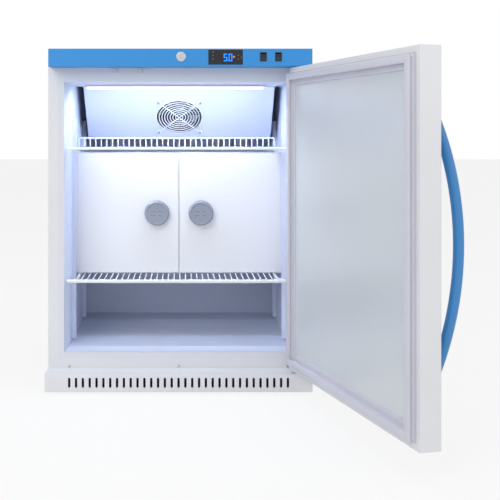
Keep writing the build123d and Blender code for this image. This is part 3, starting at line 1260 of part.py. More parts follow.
def make_machine_room():
    """Compressor, condenser, cooling fan and pipe work under and behind the cabinet."""
    y_middle = Y_MACHINE_ROOM + MACHINE_ROOM_DEPTH / 2
    make_compressor(y_middle)
    rows = [
        (Y_CONDENSER + CONDENSER_DEPTH * across, PAN_TOP + CONDENSER_HEIGHT * up)
        for across in (0.25, 0.75)
        for up in (0.3, 0.7)
    ]
    y_end, z_end = Y_CONDENSER + CONDENSER_DEPTH, PAN_TOP + CONDENSER_HEIGHT
    coil = finned_block(CONDENSER_HALF_WIDTH, Y_CONDENSER, y_end, PAN_TOP, z_end, CONDENSER_FIN_PITCH, rows)
    save("condenser_coil", coil)

    frame, rotor = axial_fan(CONDENSER_FAN_SIZE, CONDENSER_FAN_DEPTH, CONDENSER_FAN_HOLES)
    save("condenser_fan_frame", CONDENSER_FAN_PLANE.from_local_coords(frame))
    save("condenser_fan_rotor", CONDENSER_FAN_PLANE.from_local_coords(rotor))

    x_start = COMPRESSOR_X + COMPRESSOR_RADIUS
    route = FilletPolyline(
        (x_start, y_middle, PIPE_HIGH),
        (PIPE_X, y_middle, PIPE_HIGH),
        (PIPE_X, y_middle, PIPE_LOW),
        (PIPE_X, y_end, PIPE_LOW),
        radius=PIPE_BEND,
    )
    mouth = Plane(origin=(x_start, y_middle, PIPE_HIGH), z_dir=(1, 0, 0))
    pipe = sweep(mouth * Circle(PIPE_RADIUS), path=route)
    drier = rod_y(PIPE_X, 0, DRIER_LENGTH, PIPE_LOW, DRIER_RADIUS)
    drier = fillet(drier.edges().filter_by(GeomType.CIRCLE), DRIER_NECK_RADIUS)
    save("refrigerant_pipe", pipe.fuse(drier))


def make_compressor(y_middle):
    """Welded can with its relay box, on a plate that stands on four grommets."""
    half_width, half_depth = COMPRESSOR_PLATE_WIDTH / 2, COMPRESSOR_PLATE_DEPTH / 2
    z_plate = PAN_TOP + GROMMET_HEIGHT
    z_body = z_plate + COMPRESSOR_PLATE
    grommet_x, grommet_y = half_width - GROMMET_INSET_X, half_depth - GROMMET_INSET_Y
    grommets = [
        rod_z(COMPRESSOR_X + dx, y_middle + dy, PAN_TOP, z_plate, GROMMET_RADIUS)
        for dx in (-grommet_x, grommet_x)
        for dy in (-grommet_y, grommet_y)
    ]
    save("compressor_grommets", *grommets)
    plate = block(
        COMPRESSOR_X - half_width,
        COMPRESSOR_X + half_width,
        y_middle - half_depth,
        y_middle + half_depth,
        z_plate,
        z_body,
    )
    can = rod_z(COMPRESSOR_X, y_middle, z_body, z_body + COMPRESSOR_BODY_HEIGHT, COMPRESSOR_RADIUS)
    can = fillet(can.edges().filter_by(GeomType.CIRCLE).sort_by(Axis.Z)[-1], COMPRESSOR_DOME)
    z_seam = z_body + SEAM_RISE
    seam = rod_z(COMPRESSOR_X, y_middle, z_seam, z_seam + SEAM_HEIGHT, COMPRESSOR_RADIUS + SEAM_PROUD)
    relay_box = block(
        COMPRESSOR_X - COMPRESSOR_RADIUS - RELAY_PROUD,
        COMPRESSOR_X - RELAY_INNER_REACH,
        y_middle - RELAY_WIDTH / 2,
        y_middle + RELAY_WIDTH / 2,
        z_body + RELAY_RISE,
        z_body + RELAY_RISE + RELAY_HEIGHT,
    )
    save("compressor", can.fuse(seam, relay_box, plate))


def centred_block(x, z, width, height, y0, y1):
    """A block along Y whose section is centred on x and z."""
    return block(x - width / 2, x + width / 2, y0, y1, z - height / 2, z + height / 2)


def make_rear_cover():
    """Louvred cover of the machine room, and the power inlet in it."""
    inside = HALF_WIDTH - SHEET
    cover = block(-inside, inside, Y_BACK - PAN_SHEET, Y_BACK, FLOOR_GAP, MACHINE_ROOM_TOP)
    y0, y1 = Y_BACK - PAN_SHEET - OVERCUT, Y_BACK + OVERCUT
    z_slot = MACHINE_ROOM_TOP - VENT_SLOT_BELOW_TOP + VENT_SLOT_LENGTH / 2
    cuts = []
    for index in range(VENT_SLOT_COUNT):
        x = (index - (VENT_SLOT_COUNT - 1) / 2) * VENT_SLOT_PITCH
        cuts.append(centred_block(x, z_slot, VENT_SLOT_WIDTH, VENT_SLOT_LENGTH, y0, y1))
    cuts.append(centred_block(INLET_X, INLET_Z, INLET_BODY_WIDTH, INLET_BODY_HEIGHT, y0, y1))
    save("rear_cover", cover.cut(*cuts))
    y_lip = Y_BACK + INLET_FLANGE
    flange = centred_block(INLET_X, INLET_Z, INLET_WIDTH, INLET_HEIGHT, Y_BACK, y_lip)
    body_width, body_height = INLET_BODY_WIDTH - 2 * FIT_CLEARANCE, INLET_BODY_HEIGHT - 2 * FIT_CLEARANCE
    body = centred_block(INLET_X, INLET_Z, body_width, body_height, Y_BACK - INLET_BODY_DEPTH, Y_BACK)
    y_floor = Y_BACK - INLET_SOCKET_DEPTH
    socket_size = (INLET_SOCKET_WIDTH, INLET_SOCKET_HEIGHT, y_floor, y_lip + OVERCUT)
    socket = centred_block(INLET_X, INLET_Z, *socket_size)
    blade_size = (INLET_BLADE_WIDTH, INLET_BLADE_HEIGHT, y_floor - OVERCUT, y_floor + INLET_BLADE_LENGTH)
    blades = [centred_block(INLET_X + dx, INLET_Z + dz, *blade_size) for dx, dz in INLET_BLADE_PLACES]
    save("power_inlet", flange.fuse(body).cut(socket).fuse(*blades))


make_case()
make_mouth()
make_door_switches()
make_fascia()
make_display()
make_rockers()
make_lock()
make_kick_plate()
make_hinges()
make_door()
make_light_bar()
make_evaporator()
make_standards()
make_shelves()
make_locker()
make_machine_room()
make_rear_cover()
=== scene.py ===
import json
import math

import bmesh
import bpy
from mathutils import Matrix, Vector


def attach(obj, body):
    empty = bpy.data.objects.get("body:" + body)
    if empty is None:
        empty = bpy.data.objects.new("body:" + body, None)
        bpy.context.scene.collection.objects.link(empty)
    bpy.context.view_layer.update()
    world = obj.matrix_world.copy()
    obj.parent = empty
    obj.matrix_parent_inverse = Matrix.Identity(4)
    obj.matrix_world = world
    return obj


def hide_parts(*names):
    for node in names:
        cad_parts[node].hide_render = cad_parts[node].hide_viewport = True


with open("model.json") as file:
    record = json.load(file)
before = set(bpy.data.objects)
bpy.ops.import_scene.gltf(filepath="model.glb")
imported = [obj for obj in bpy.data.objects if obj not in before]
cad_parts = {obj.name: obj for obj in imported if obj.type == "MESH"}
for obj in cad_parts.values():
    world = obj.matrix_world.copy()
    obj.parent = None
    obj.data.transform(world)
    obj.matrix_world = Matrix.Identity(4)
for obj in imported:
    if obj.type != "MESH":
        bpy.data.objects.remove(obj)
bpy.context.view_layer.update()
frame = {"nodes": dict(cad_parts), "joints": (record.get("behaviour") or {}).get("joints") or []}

# Planes of the cabinet that the pieces below are set from, in millimetres
FACE = -331.0
LOCKER_FACE = -162.0
DOOR_INNER = -290.0
FAN_CENTRE = (0.0, -49.0, 624.0)
MM = 0.001
WHITE = (1.0, 1.0, 1.0)

# Camera fitted to the photograph's frame, in metres
CAMERA_SPOT = (0.0133, -2.470, 0.5793)
CAMERA_SENSOR = 36.0
CAMERA_LENS = 68.8
CAMERA_SHIFT = (0.131, -0.2308)

# Studio: what the lamps aim at, the light of the room itself, and the floor, whose white is left out under
# the cabinet as a painted shadow
LAMP_AIM = (0.1, -0.3, 0.4)
KEY_AIM = (0.0, -0.3, 0.4)
ROOM_LIGHT = 0.55
FLOOR_HALF = 20000.0
FLOOR_WHITE_SHARE = 0.8
# Half sizes in metres of the floor patch under the cabinet that gets no white: a painted shadow beneath the
# cabinet
PAINTED_SHADOW_HALF = (0.299, 0.3)
RAYS_THAT_LOOK = ("Is Camera Ray", "Is Glossy Ray", "Is Transmission Ray")


def paint(red, green, blue):
    """A colour read as 0 to 255, as the shaders want it."""
    shares = [value / 255 for value in (red, green, blue)]
    return tuple(c / 12.92 if c <= 0.04045 else ((c + 0.055) / 1.055) ** 2.4 for c in shares)


class Term:
    """A node's output that takes part in Python sums."""

    def __init__(self, graph, socket):
        self.graph = graph
        self.socket = socket

    def math(self, operation, first, second=0.0):
        return self.graph.node("ShaderNodeMath", {"operation": operation}, {0: first, 1: second})

    def __add__(self, other):
        return self.math("ADD", self, other)

    def __sub__(self, other):
        return self.math("SUBTRACT", self, other)

    def __rsub__(self, other):
        return self.math("SUBTRACT", other, self)

    def __mul__(self, other):
        return self.math("MULTIPLY", self, other)

    def __gt__(self, other):
        return self.math("GREATER_THAN", self, other)

    def __lt__(self, other):
        return self.math("LESS_THAN", self, other)

    def __abs__(self):
        return self.math("ABSOLUTE", self)

    __radd__ = __add__
    __rmul__ = __mul__


class Graph:
    """A node tree with one way to add a node."""

    def __init__(self, tree):
        self.tree = tree

    def node(self, kind, settings=None, inputs=None, output=0):
        made = self.tree.nodes.new(kind)
        for key, value in (settings or {}).items():
            if key == "stops":
                self.set_stops(made.color_ramp, value)
            else:
                setattr(made, key, value)
        self.join(made, inputs or {})
        return Term(self, made.outputs[output])

    def set_stops(self, ramp, stops):
        while len(ramp.elements) < len(stops):
            ramp.elements.new(1.0)
        for element, (place, level) in zip(ramp.elements, stops):
            element.position = place
            element.color = (level, level, level, 1.0)

    def join(self, node, inputs):
        for key, value in inputs.items():
            socket = node.inputs[key]
            if isinstance(value, Term):
                self.tree.links.new(value.socket, socket)
            elif socket.type == "RGBA":
                socket.default_value = (*value[:3], 1.0)
            else:
                socket.default_value = value

    def largest(self, first, second):
        return self.node("ShaderNodeMath", {"operation": "MAXIMUM"}, {0: first, 1: second})

    def mix(self, share, first, second):
        """A colour between two others."""
        return self.node("ShaderNodeMix", {"data_type": "RGBA"}, {0: share, 6: first, 7: second}, 2)


class Finish(Graph):
    """A surface: a Principled shader fed by patterns on object coordinates."""

    def __init__(self, name, **constants):
        self.material = bpy.data.materials.new(name)
        self.material.use_nodes = True
        super().__init__(self.material.node_tree)
        self.shader = self.tree.nodes["Principled BSDF"]
        self.place = self.node("ShaderNodeTexCoord", output=3)
        self.set(**constants)

    def set(self, **values):
        self.join(self.shader, {key.replace("_", " "): value for key, value in values.items()})

    def stretched(self, scale):
        return self.node("ShaderNodeMapping", inputs={"Vector": self.place, "Scale": scale})

    def noise(self, scale, detail=2.0, stretch=None):
        vector = self.stretched(stretch) if stretch else self.place
        return self.node("ShaderNodeTexNoise", inputs={"Vector": vector, "Scale": scale, "Detail": detail})

    def cells(self, scale):
        return self.node("ShaderNodeTexVoronoi", inputs={"Vector": self.place, "Scale": scale})

    def ramp(self, value, *stops):
        return self.node("ShaderNodeValToRGB", {"stops": stops}, {0: value})

    def along(self, axis):
        return self.node("ShaderNodeSeparateXYZ", inputs={0: self.place}, output="XYZ".index(axis))

    def bump(self, height, depth):
        """Turns a pattern into relief of a depth in millimetres."""
        self.set(Normal=self.node("ShaderNodeBump", inputs={"Distance": depth * MM, "Height": height}))


def shade(colour, share):
    """The same colour, darker or lighter."""
    return tuple(min(1.0, value * share) for value in colour)


def coated(name, colour, roughness, grain=700.0, depth=0.03, spread=0.035, **constants):
    """Paint, enamel or moulded plastic: broad unevenness of tone over a fine grain."""
    finish = Finish(name, **constants)
    broad = finish.noise(5.0, 3.0)
    fine = finish.noise(grain, 3.0)
    finish.set(
        Base_Color=finish.mix(broad, shade(colour, 1 - spread), shade(colour, 1 + spread)),
        Roughness=finish.noise(24.0, 3.0) * 0.12 + (roughness - 0.06),
    )
    finish.bump(fine, depth)
    return finish


def metal(name, colour, roughness, stretch, **constants):
    """Drawn or rolled metal with its lines along one direction."""
    finish = Finish(name, Metallic=1.0, **constants)
    lines = finish.noise(160.0, 4.0, stretch)
    finish.set(
        Base_Color=finish.mix(lines, shade(colour, 0.86), shade(colour, 1.06)),
        Roughness=lines * 0.18 + (roughness - 0.09),
    )
    finish.bump(lines, 0.02)
    return finish


def galvanised(name):
    """Zinc-coated sheet with its large pale crystals."""
    finish = Finish(name, Metallic=1.0)
    crystals = finish.cells(90.0)
    tone = finish.mix(crystals, paint(150, 153, 158), paint(196, 198, 202))
    finish.set(Base_Color=tone, Roughness=crystals * 0.2 + 0.34)
    finish.bump(finish.noise(300.0), 0.03)
    return finish


def foamed(name):
    """Cut polyurethane foam."""
    finish = Finish(name)
    pores = finish.cells(520.0)
    finish.set(Base_Color=finish.mix(pores, paint(196, 178, 128), paint(238, 226, 186)), Roughness=0.95)
    finish.bump(pores, 0.5)
    return finish


def glowing(name, colour, strength, base):
    """A lit surface with a slight fall-off between its diodes."""
    finish = Finish(name, Roughness=0.3)
    finish.set(Emission_Strength=strength)
    spots = finish.noise(60.0, 1.0)
    finish.set(
        Base_Color=finish.mix(spots, shade(base, 0.96), base),
        Emission_Color=finish.mix(spots, shade(colour, 0.9), colour),
    )
    return finish


FINISHES = {
    "white_enamel": coated("white_enamel", paint(226, 227, 231), 0.38, 900.0, 0.02),
    "zinc_sheet": galvanised("zinc_sheet"),
    "white_coated_wire": coated("white_coated_wire", paint(240, 242, 248), 0.26, 1100.0, 0.02),
    "cold_wall_enamel": coated("cold_wall_enamel", paint(215, 222, 244), 0.42, 900.0, 0.02),
    "blue_handle_paint": coated("blue_handle_paint", paint(44, 130, 196), 0.3, 1400.0, 0.01, Coat_Weight=0.4),
    "black_can_paint": coated("black_can_paint", paint(20, 20, 22), 0.4, 500.0, 0.05),
    "blue_fascia_plastic": coated("blue_fascia_plastic", paint(46, 142, 214), 0.42, 1600.0, 0.02, 0.02),
    "worktop_laminate": coated("worktop_laminate", paint(228, 229, 233), 0.4, 800.0, 0.05),
    "liner_plastic": coated("liner_plastic", paint(214, 222, 243), 0.45, 800.0, 0.03),
    "door_panel_plastic": coated("door_panel_plastic", paint(206, 211, 216), 0.22, 1200.0, 0.01, 0.02),
    "locker_plastic": coated("locker_plastic", paint(236, 237, 242), 0.36, 1000.0, 0.02, 0.015),
    "grey_knob_plastic": coated("grey_knob_plastic", paint(146, 152, 166), 0.42, 1500.0, 0.03),
    "light_lens_plastic": glowing("light_lens_plastic", (1.0, 1.0, 1.0), 1.6, paint(240, 244, 252)),
    "black_plastic": coated("black_plastic", paint(26, 27, 30), 0.4, 1200.0, 0.03),
    "dark_window_plastic": coated("dark_window_plastic", paint(14, 15, 20), 0.14, 1200.0, 0.004),
    "board_plastic": coated("board_plastic", paint(24, 84, 50), 0.5, 600.0, 0.05),
    "pale_plastic": coated("pale_plastic", paint(222, 224, 232), 0.4, 1200.0, 0.02),
    "gasket_rubber": coated("gasket_rubber", paint(206, 206, 217), 0.46, 1300.0, 0.03),
    "black_rubber": coated("black_rubber", paint(28, 28, 28), 0.75, 900.0, 0.08),
    "insulation": foamed("insulation"),
    "bright_metal": metal("bright_metal", paint(206, 207, 210), 0.22, (1.0, 1.0, 0.1)),
    "fin_aluminium": metal("fin_aluminium", paint(186, 190, 202), 0.4, (0.1, 1.0, 1.0)),
    "copper_pipe": metal("copper_pipe", paint(196, 124, 84), 0.34, (0.1, 1.0, 1.0)),
    "navy_coil_paint": coated("navy_coil_paint", paint(34, 32, 78), 0.5, 500.0, 0.05),
    "digit_glow": glowing("digit_glow", paint(0, 120, 255), 2.2, paint(0, 70, 150)),
    "amber_glow": glowing("amber_glow", paint(235, 120, 40), 0.9, paint(150, 80, 30)),
    "pale_print": coated("pale_print", paint(128, 136, 148), 0.5, 1200.0, 0.01),
    "dark_print": coated("dark_print", paint(64, 66, 74), 0.5, 1200.0, 0.01),
}

NODES_BY_FINISH = {
    "white_enamel": "side_panel_left side_panel_right front_frame kick_plate door_skin locker_box",
    "zinc_sheet": "back_panel base_pan hinge_bracket_lower hinge_bracket_upper rear_cover",
    "white_coated_wire": "lower_shelf upper_shelf fan_guard shelf_clips",
    "cold_wall_enamel": "evaporator_cover shelf_standards",
    "blue_handle_paint": "door_handle",
    "black_can_paint": "compressor",
    "blue_fascia_plastic": "fascia",
    "worktop_laminate": "worktop",
    "liner_plastic": "inner_liner",
    "door_panel_plastic": "door_inner_panel",
    "locker_plastic": "locker_door_left locker_door_right",
    "grey_knob_plastic": "locker_knob_left locker_knob_right",
    "light_lens_plastic": "light_bar_lens",
    "black_plastic": "rocker_bezels rocker_power rocker_alarm evaporator_fan_frame evaporator_fan_rotor "
    "condenser_fan_frame condenser_fan_rotor power_inlet hinge_bushings",
    "dark_window_plastic": "display_window",
    "board_plastic": "display_board",
    "pale_plastic": "breaker_frame switch_plunger_left switch_plunger_right door_switch_housings "
    "light_bar_housing drip_tray",
    "gasket_rubber": "door_gasket",
    "black_rubber": "compressor_grommets foot_front_left foot_front_right rear_feet",
    "insulation": "foam_insulation door_foam",
    "bright_metal": "cabinet_screws handle_screws hinge_pins lock_barrel lock_plug",
    "fin_aluminium": "evaporator_coil",
    "copper_pipe": "refrigerant_pipe",
    "navy_coil_paint": "condenser_coil",
}


def dress_nodes():
    """Gives every CAD node its finish."""
    for finish, names in NODES_BY_FINISH.items():
        for name in names.split():
            mesh = frame["nodes"][name].data
            mesh.materials.clear()
            mesh.materials.append(FINISHES[finish].material)


def put(name, mesh, finish, body, replaces=()):
    """Makes a mesh a finished piece that rides on its body."""
    piece = bpy.data.objects.new(name, mesh)
    bpy.context.scene.collection.objects.link(piece)
    if finish:
        mesh.materials.clear()
        mesh.materials.append(FINISHES[finish].material)
    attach(piece, body)
    if replaces:
        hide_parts(*replaces)
    return piece


def mesh_from(name, shape, smooth=40.0):
    """A bmesh made into a mesh in metres, with its flat and rounded faces told apart."""
    bmesh.ops.remove_doubles(shape, verts=shape.verts, dist=0.0005)
    bmesh.ops.recalc_face_normals(shape, faces=shape.faces)
    mesh = bpy.data.meshes.new(name)
    shape.to_mesh(mesh)
    shape.free()
    mesh.transform(Matrix.Scale(MM, 4))
    mesh.polygons.foreach_set("use_smooth", [True] * len(mesh.polygons))
    mesh.set_sharp_from_angle(angle=math.radians(smooth))
    return mesh


def turned_open(mesh):
    """Turns a mesh of the closed main door to the angle at which it stands open."""
    hinge = next(joint for joint in frame["joints"] if joint["name"] == "main_door_hinge")
    axis = Vector(hinge["pos_m"])
    angle = math.radians(-hinge["range_deg"][0])
    mesh.transform(Matrix.Translation(axis) @ Matrix.Rotation(angle, 4, "Z") @ Matrix.Translation(-axis))
    return mesh


def slab(shape, low, high, edge=0.0, segments=2):
    """A box with eased edges, in millimetres."""
    spans = [b - a for a, b in zip(low, high)]
    middle = [(a + b) / 2 for a, b in zip(low, high)]
    matrix = Matrix.Translation(middle) @ Matrix.Diagonal((*spans, 1.0))
    made = bmesh.ops.create_cube(shape, size=1.0, matrix=matrix)["verts"]
    if edge:
        edges = {e for v in made for e in v.link_edges}
        bmesh.ops.bevel(
            shape, geom=list(edges), offset=edge, segments=segments, profile=0.5, affect="EDGES"
        )


def lathe(shape, profile, matrix, steps=64):
    """Turns (radius, height) pairs round Z, then moves them."""
    rings = []
    for radius, height in profile:
        if radius == 0:
            rings.append([shape.verts.new(matrix @ Vector((0, 0, height)))])
            continue
        ring = []
        for step in range(steps):
            turn = 2 * math.pi * step / steps
            point = Vector((radius * math.cos(turn), radius * math.sin(turn), height))
            ring.append(shape.verts.new(matrix @ point))
        rings.append(ring)
    for first, second in zip(rings, rings[1:]):
        for step in range(steps):
            after = (step + 1) % steps
            corners = [first[step % len(first)], first[after % len(first)]]
            corners += [second[after % len(second)], second[step % len(second)]]
            corners = list(dict.fromkeys(corners))
            if len(corners) > 2:
                shape.faces.new(corners)


def tube(shape, points, radius, sides):
    """A round tube along points, closed at both ends."""
    points = [Vector(p) for p in points]
    rings = []
    side = None
    for index, point in enumerate(points):
        before, after = points[max(index - 1, 0)], points[min(index + 1, len(points) - 1)]
        way = (after - before).normalized()
        side = way.orthogonal() if side is None else side - way * side.dot(way)
        side.normalize()
        up = way.cross(side)
        turns = [2 * math.pi * step / sides for step in range(sides)]
        rings.append(
            [shape.verts.new(point + (side * math.cos(t) + up * math.sin(t)) * radius) for t in turns]
        )
    for first, second in zip(rings, rings[1:]):
        for step in range(sides):
            after = (step + 1) % sides
            shape.faces.new((first[step], first[after], second[after], second[step]))
    shape.faces.new(rings[0])
    shape.faces.new(rings[-1])


def mitred(shape, left, right, bottom, top, profile):
    """A moulding round an upright rectangle. The profile is (inset, depth) pairs, closed."""
    corners = [(left, bottom, 1, 1), (right, bottom, -1, 1), (right, top, -1, -1), (left, top, 1, -1)]
    rings = [
        [shape.verts.new((x + sx * inset, y, z + sz * inset)) for inset, y in profile]
        for x, z, sx, sz in corners
    ]
    for index in range(4):
        first, second = rings[index], rings[(index + 1) % 4]
        for step in range(len(profile)):
            after = (step + 1) % len(profile)
            shape.faces.new((first[step], second[step], second[after], first[after]))


def facing_front(x, y, z):
    """Turns a lathe's Z to face the front, at a point in millimetres."""
    return Matrix.Translation((x, y, z)) @ Matrix.Rotation(math.radians(90), 4, "X")


class Pattern(Graph):
    """Geometry Nodes with named sizes, made into a plain mesh."""

    def __init__(self, name, **sizes):
        super().__init__(bpy.data.node_groups.new(name, "GeometryNodeTree"))
        kinds = {int: "NodeSocketInt", float: "NodeSocketFloat", tuple: "NodeSocketVector"}
        sockets = self.tree.interface
        sockets.new_socket("Geometry", in_out="OUTPUT", socket_type="NodeSocketGeometry")
        self.name = name
        self.values = {}
        for key, value in sizes.items():
            made = sockets.new_socket(key, in_out="INPUT", socket_type=kinds[type(value)])
            self.values[made.identifier] = value
        self.entry = self.tree.nodes.new("NodeGroupInput")

    def size(self, key):
        return Term(self, self.entry.outputs[key])

    def swept(self, curve, radius, sides=12):
        """A curve made into a round wire."""
        section = self.node(
            "GeometryNodeCurvePrimitiveCircle", inputs={"Resolution": sides, "Radius": radius}
        )
        return self.node(
            "GeometryNodeCurveToMesh", inputs={0: curve, "Profile Curve": section, "Fill Caps": True}
        )

    def row(self, thing, count, start, step):
        """Copies of a thing along a straight row."""
        points = self.node(
            "GeometryNodeMeshLine", inputs={"Count": count, "Start Location": start, "Offset": step}
        )
        return self.node("GeometryNodeInstanceOnPoints", inputs={"Points": points, "Instance": thing})

    def line(self, start, end):
        """A straight curve between two points in metres."""
        return self.node("GeometryNodeCurvePrimitiveLine", inputs={"Start": start, "End": end})

    def joined(self, *parts):
        made = self.tree.nodes.new("GeometryNodeJoinGeometry")
        for part in parts:
            self.tree.links.new(part.socket, made.inputs[0])
        return Term(self, made.outputs[0])

    def baked(self, geometry, finish, smooth=40.0):
        real = self.node("GeometryNodeRealizeInstances", inputs={0: geometry})
        painted = self.node(
            "GeometryNodeSetMaterial", inputs={0: real, "Material": FINISHES[finish].material}
        )
        self.tree.links.new(painted.socket, self.tree.nodes.new("NodeGroupOutput").inputs[0])
        holder = bpy.data.objects.new(self.name, bpy.data.meshes.new(self.name))
        bpy.context.scene.collection.objects.link(holder)
        modifier = holder.modifiers.new(self.name, "NODES")
        modifier.node_group = self.tree
        for identifier, value in self.values.items():
            modifier[identifier] = value
        ready = holder.evaluated_get(bpy.context.evaluated_depsgraph_get())
        mesh = bpy.data.meshes.new_from_object(ready)
        bpy.data.objects.remove(holder)
        mesh.name = self.name
        mesh.set_sharp_from_angle(angle=math.radians(smooth))
        return mesh


def metres(*values):
    return tuple(value * MM for value in values)


def make_camera():
    data = bpy.data.cameras.new("studio_camera")
    data.sensor_width = CAMERA_SENSOR
    data.lens = CAMERA_LENS
    data.shift_x, data.shift_y = CAMERA_SHIFT
    data.clip_end = 60.0
    camera = bpy.data.objects.new("studio_camera", data)
    camera.location = CAMERA_SPOT
    camera.rotation_euler = (math.radians(90), 0.0, 0.0)
    bpy.context.scene.collection.objects.link(camera)
    bpy.context.scene.camera = camera


def make_lamp(name, spot, aim, size, watts, colour=WHITE, height=None):
    data = bpy.data.lights.new(name, "AREA")
    data.shape = "RECTANGLE"
    data.size = size
    data.size_y = height or size
    data.energy = watts
    data.color = colour
    lamp = bpy.data.objects.new(name, data)
    lamp.location = spot
    lamp.rotation_euler = (Vector(aim) - Vector(spot)).to_track_quat("-Z", "Y").to_euler()
    bpy.context.scene.collection.objects.link(lamp)


def looked_at(graph):
    """1 for rays that look at a surface, straight or by way of gloss or glass, and 0 for its light."""
    camera, glossy, through = [graph.node("ShaderNodeLightPath", output=ray) for ray in RAYS_THAT_LOOK]
    return graph.largest(graph.largest(camera, glossy), through)


def make_studio():
    """White surroundings, a pale floor with a painted shadow under the cabinet, and soft lamps."""
    scene = bpy.context.scene
    scene.view_settings.view_transform = "Standard"
    scene.world = bpy.data.worlds.new("white_room")
    scene.world.use_nodes = True
    room = Graph(scene.world.node_tree)
    strength = looked_at(room) * (1 - ROOM_LIGHT) + ROOM_LIGHT
    room.join(room.tree.nodes["Background"], {"Color": WHITE, "Strength": strength})

    floor_shape = bmesh.new()
    bmesh.ops.create_grid(floor_shape, x_segments=2, y_segments=2, size=FLOOR_HALF)
    floor = bpy.data.objects.new("studio_floor", mesh_from("studio_floor", floor_shape))
    scene.collection.objects.link(floor)
    pale = Finish("studio_floor", Roughness=0.9)
    pale.set(Base_Color=pale.mix(pale.noise(2.0), (0.8, 0.8, 0.8), (0.82, 0.82, 0.82)))
    # The floor shows white to the camera only beside the cabinet. Under its footprint the white is left out,
    # which is a painted shadow beneath the cabinet.
    outside_painted_shadow = pale.largest(
        abs(pale.along("X")) > PAINTED_SHADOW_HALF[0], abs(pale.along("Y")) > PAINTED_SHADOW_HALF[1]
    )
    share = looked_at(pale) * outside_painted_shadow * FLOOR_WHITE_SHARE
    white = pale.node("ShaderNodeEmission", inputs={"Color": WHITE, "Strength": 1.0})
    surface = Term(pale, pale.shader.outputs[0])
    lit = pale.node("ShaderNodeMixShader", inputs={0: share, 1: surface, 2: white})
    pale.tree.links.new(lit.socket, pale.tree.nodes["Material Output"].inputs[0])
    floor.data.materials.append(pale.material)

    make_lamp("key_lamp", (-1.7, -3.2, 2.3), KEY_AIM, 2.2, 46.0)
    make_lamp("fill_lamp", (2.4, -3.0, 1.4), LAMP_AIM, 2.0, 16.0)
    make_lamp("top_lamp", (0.2, -0.4, 3.2), LAMP_AIM, 2.4, 22.0)
    under_bar, into_cabinet, cold_white = (-0.008, -0.243, 0.684), (-0.008, -0.1, 0.3), (0.72, 0.82, 1.0)
    make_lamp("cabinet_lamp", under_bar, into_cabinet, 0.4, 1.6, cold_white, height=0.012)


def make_handle():
    """Bowed tube whose ends are cut to the door's face."""
    across, centre_y, middle, bow, thickness = -268.0, 164.5, 389.0, 545.0, 9.5
    reach = math.radians(27.0)
    half = 36
    shape = bmesh.new()
    points = []
    for step in range(2 * half + 1):
        turn = reach * (step / half - 1)
        points.append((across, centre_y - bow * math.cos(turn), middle + bow * math.sin(turn)))
    tube(shape, points, thickness, 32)
    cut = bmesh.ops.bisect_plane(
        shape,
        geom=shape.verts[:] + shape.edges[:] + shape.faces[:],
        plane_co=(0, FACE - 0.05, 0),
        plane_no=(0, 1, 0),
        clear_outer=True,
    )["geom_cut"]
    rim = [e for e in cut if isinstance(e, bmesh.types.BMEdge)]
    bmesh.ops.holes_fill(shape, edges=rim)
    mesh = turned_open(mesh_from("bowed_handle", shape))
    put("bowed_handle", mesh, "blue_handle_paint", "main_door", ["door_handle"])


def make_gasket():
    """Magnetic seal: base, bellows fold, magnet pocket and inner lip."""
    rise = [(15, 0), (15, 2.6), (16.2, 3.6), (18.2, 5.4), (18.2, 6.6), (16, 8.4), (15, 9.6), (15, 13.2)]
    rise += [(15.4, 14.1), (16.3, 14.5), (27.7, 14.5), (28.6, 14.1), (29, 13.2), (29, 9.6), (28, 8.4)]
    rise += [(26.4, 6.6), (26.4, 5.4), (28, 3.6), (30, 3), (39, 3), (40, 2.2), (40, 0)]
    profile = [(inset, DOOR_INNER + height) for inset, height in rise]
    shape = bmesh.new()
    half_width, bottom, top = 298.0, 48.0, 730.0
    mitred(shape, -half_width, half_width, bottom, top, profile)
    mesh = turned_open(mesh_from("magnetic_gasket", shape, 30.0))
    put("magnetic_gasket", mesh, "gasket_rubber", "main_door", ["door_gasket"])


def make_knob(side, word):
    """Round grip with a dished face, on its spindle with the latch cam."""
    x, z, face = side * 53.0, 390.1, 18.8
    shape = bmesh.new()
    profile = [(0, 0.3), (29.4, 0.3), (30, 0.9), (30, 4.6), (29.5, 5.2), (28.5, 5.4), (28.5, 16.6)]
    profile += [(28.2, 18.2), (27.4, 19.3), (26.2, 19.9), (25.4, 20), (24.5, 20), (23.8, 19.8)]
    profile += [(23.4, 19.2), (23.0, 18.85), (22.4, face), (0, face)]
    lathe(shape, profile, facing_front(x, LOCKER_FACE, z), 96)
    lathe(shape, [(0, -17.6), (4, -17.6), (4, 0.4), (0, 0.4)], facing_front(x, LOCKER_FACE, z), 32)
    slab(shape, (x - 7, -145.9, z - 7), (x + 7, -143.9, z + 43), 0.4)
    mesh = mesh_from(f"{word}_knob_grip", shape)
    put(f"{word}_knob_grip", mesh, "grey_knob_plastic", f"{word}_knob", [f"locker_knob_{word}"])
    marks = bmesh.new()
    y = LOCKER_FACE - face
    half_width, half_height, proud, sunk = 1.2, 0.6, 0.12, 0.1
    for up in (5, -5):
        for across in (-13, -9, -5, 6, 10):
            low = (x + across - half_width, y - proud, z + up - half_height)
            high = (x + across + half_width, y + sunk, z + up + half_height)
            slab(marks, low, high)
    mesh = mesh_from(f"{word}_knob_marks", marks)
    put(f"{word}_knob_marks", mesh, "dark_print", f"{word}_knob")


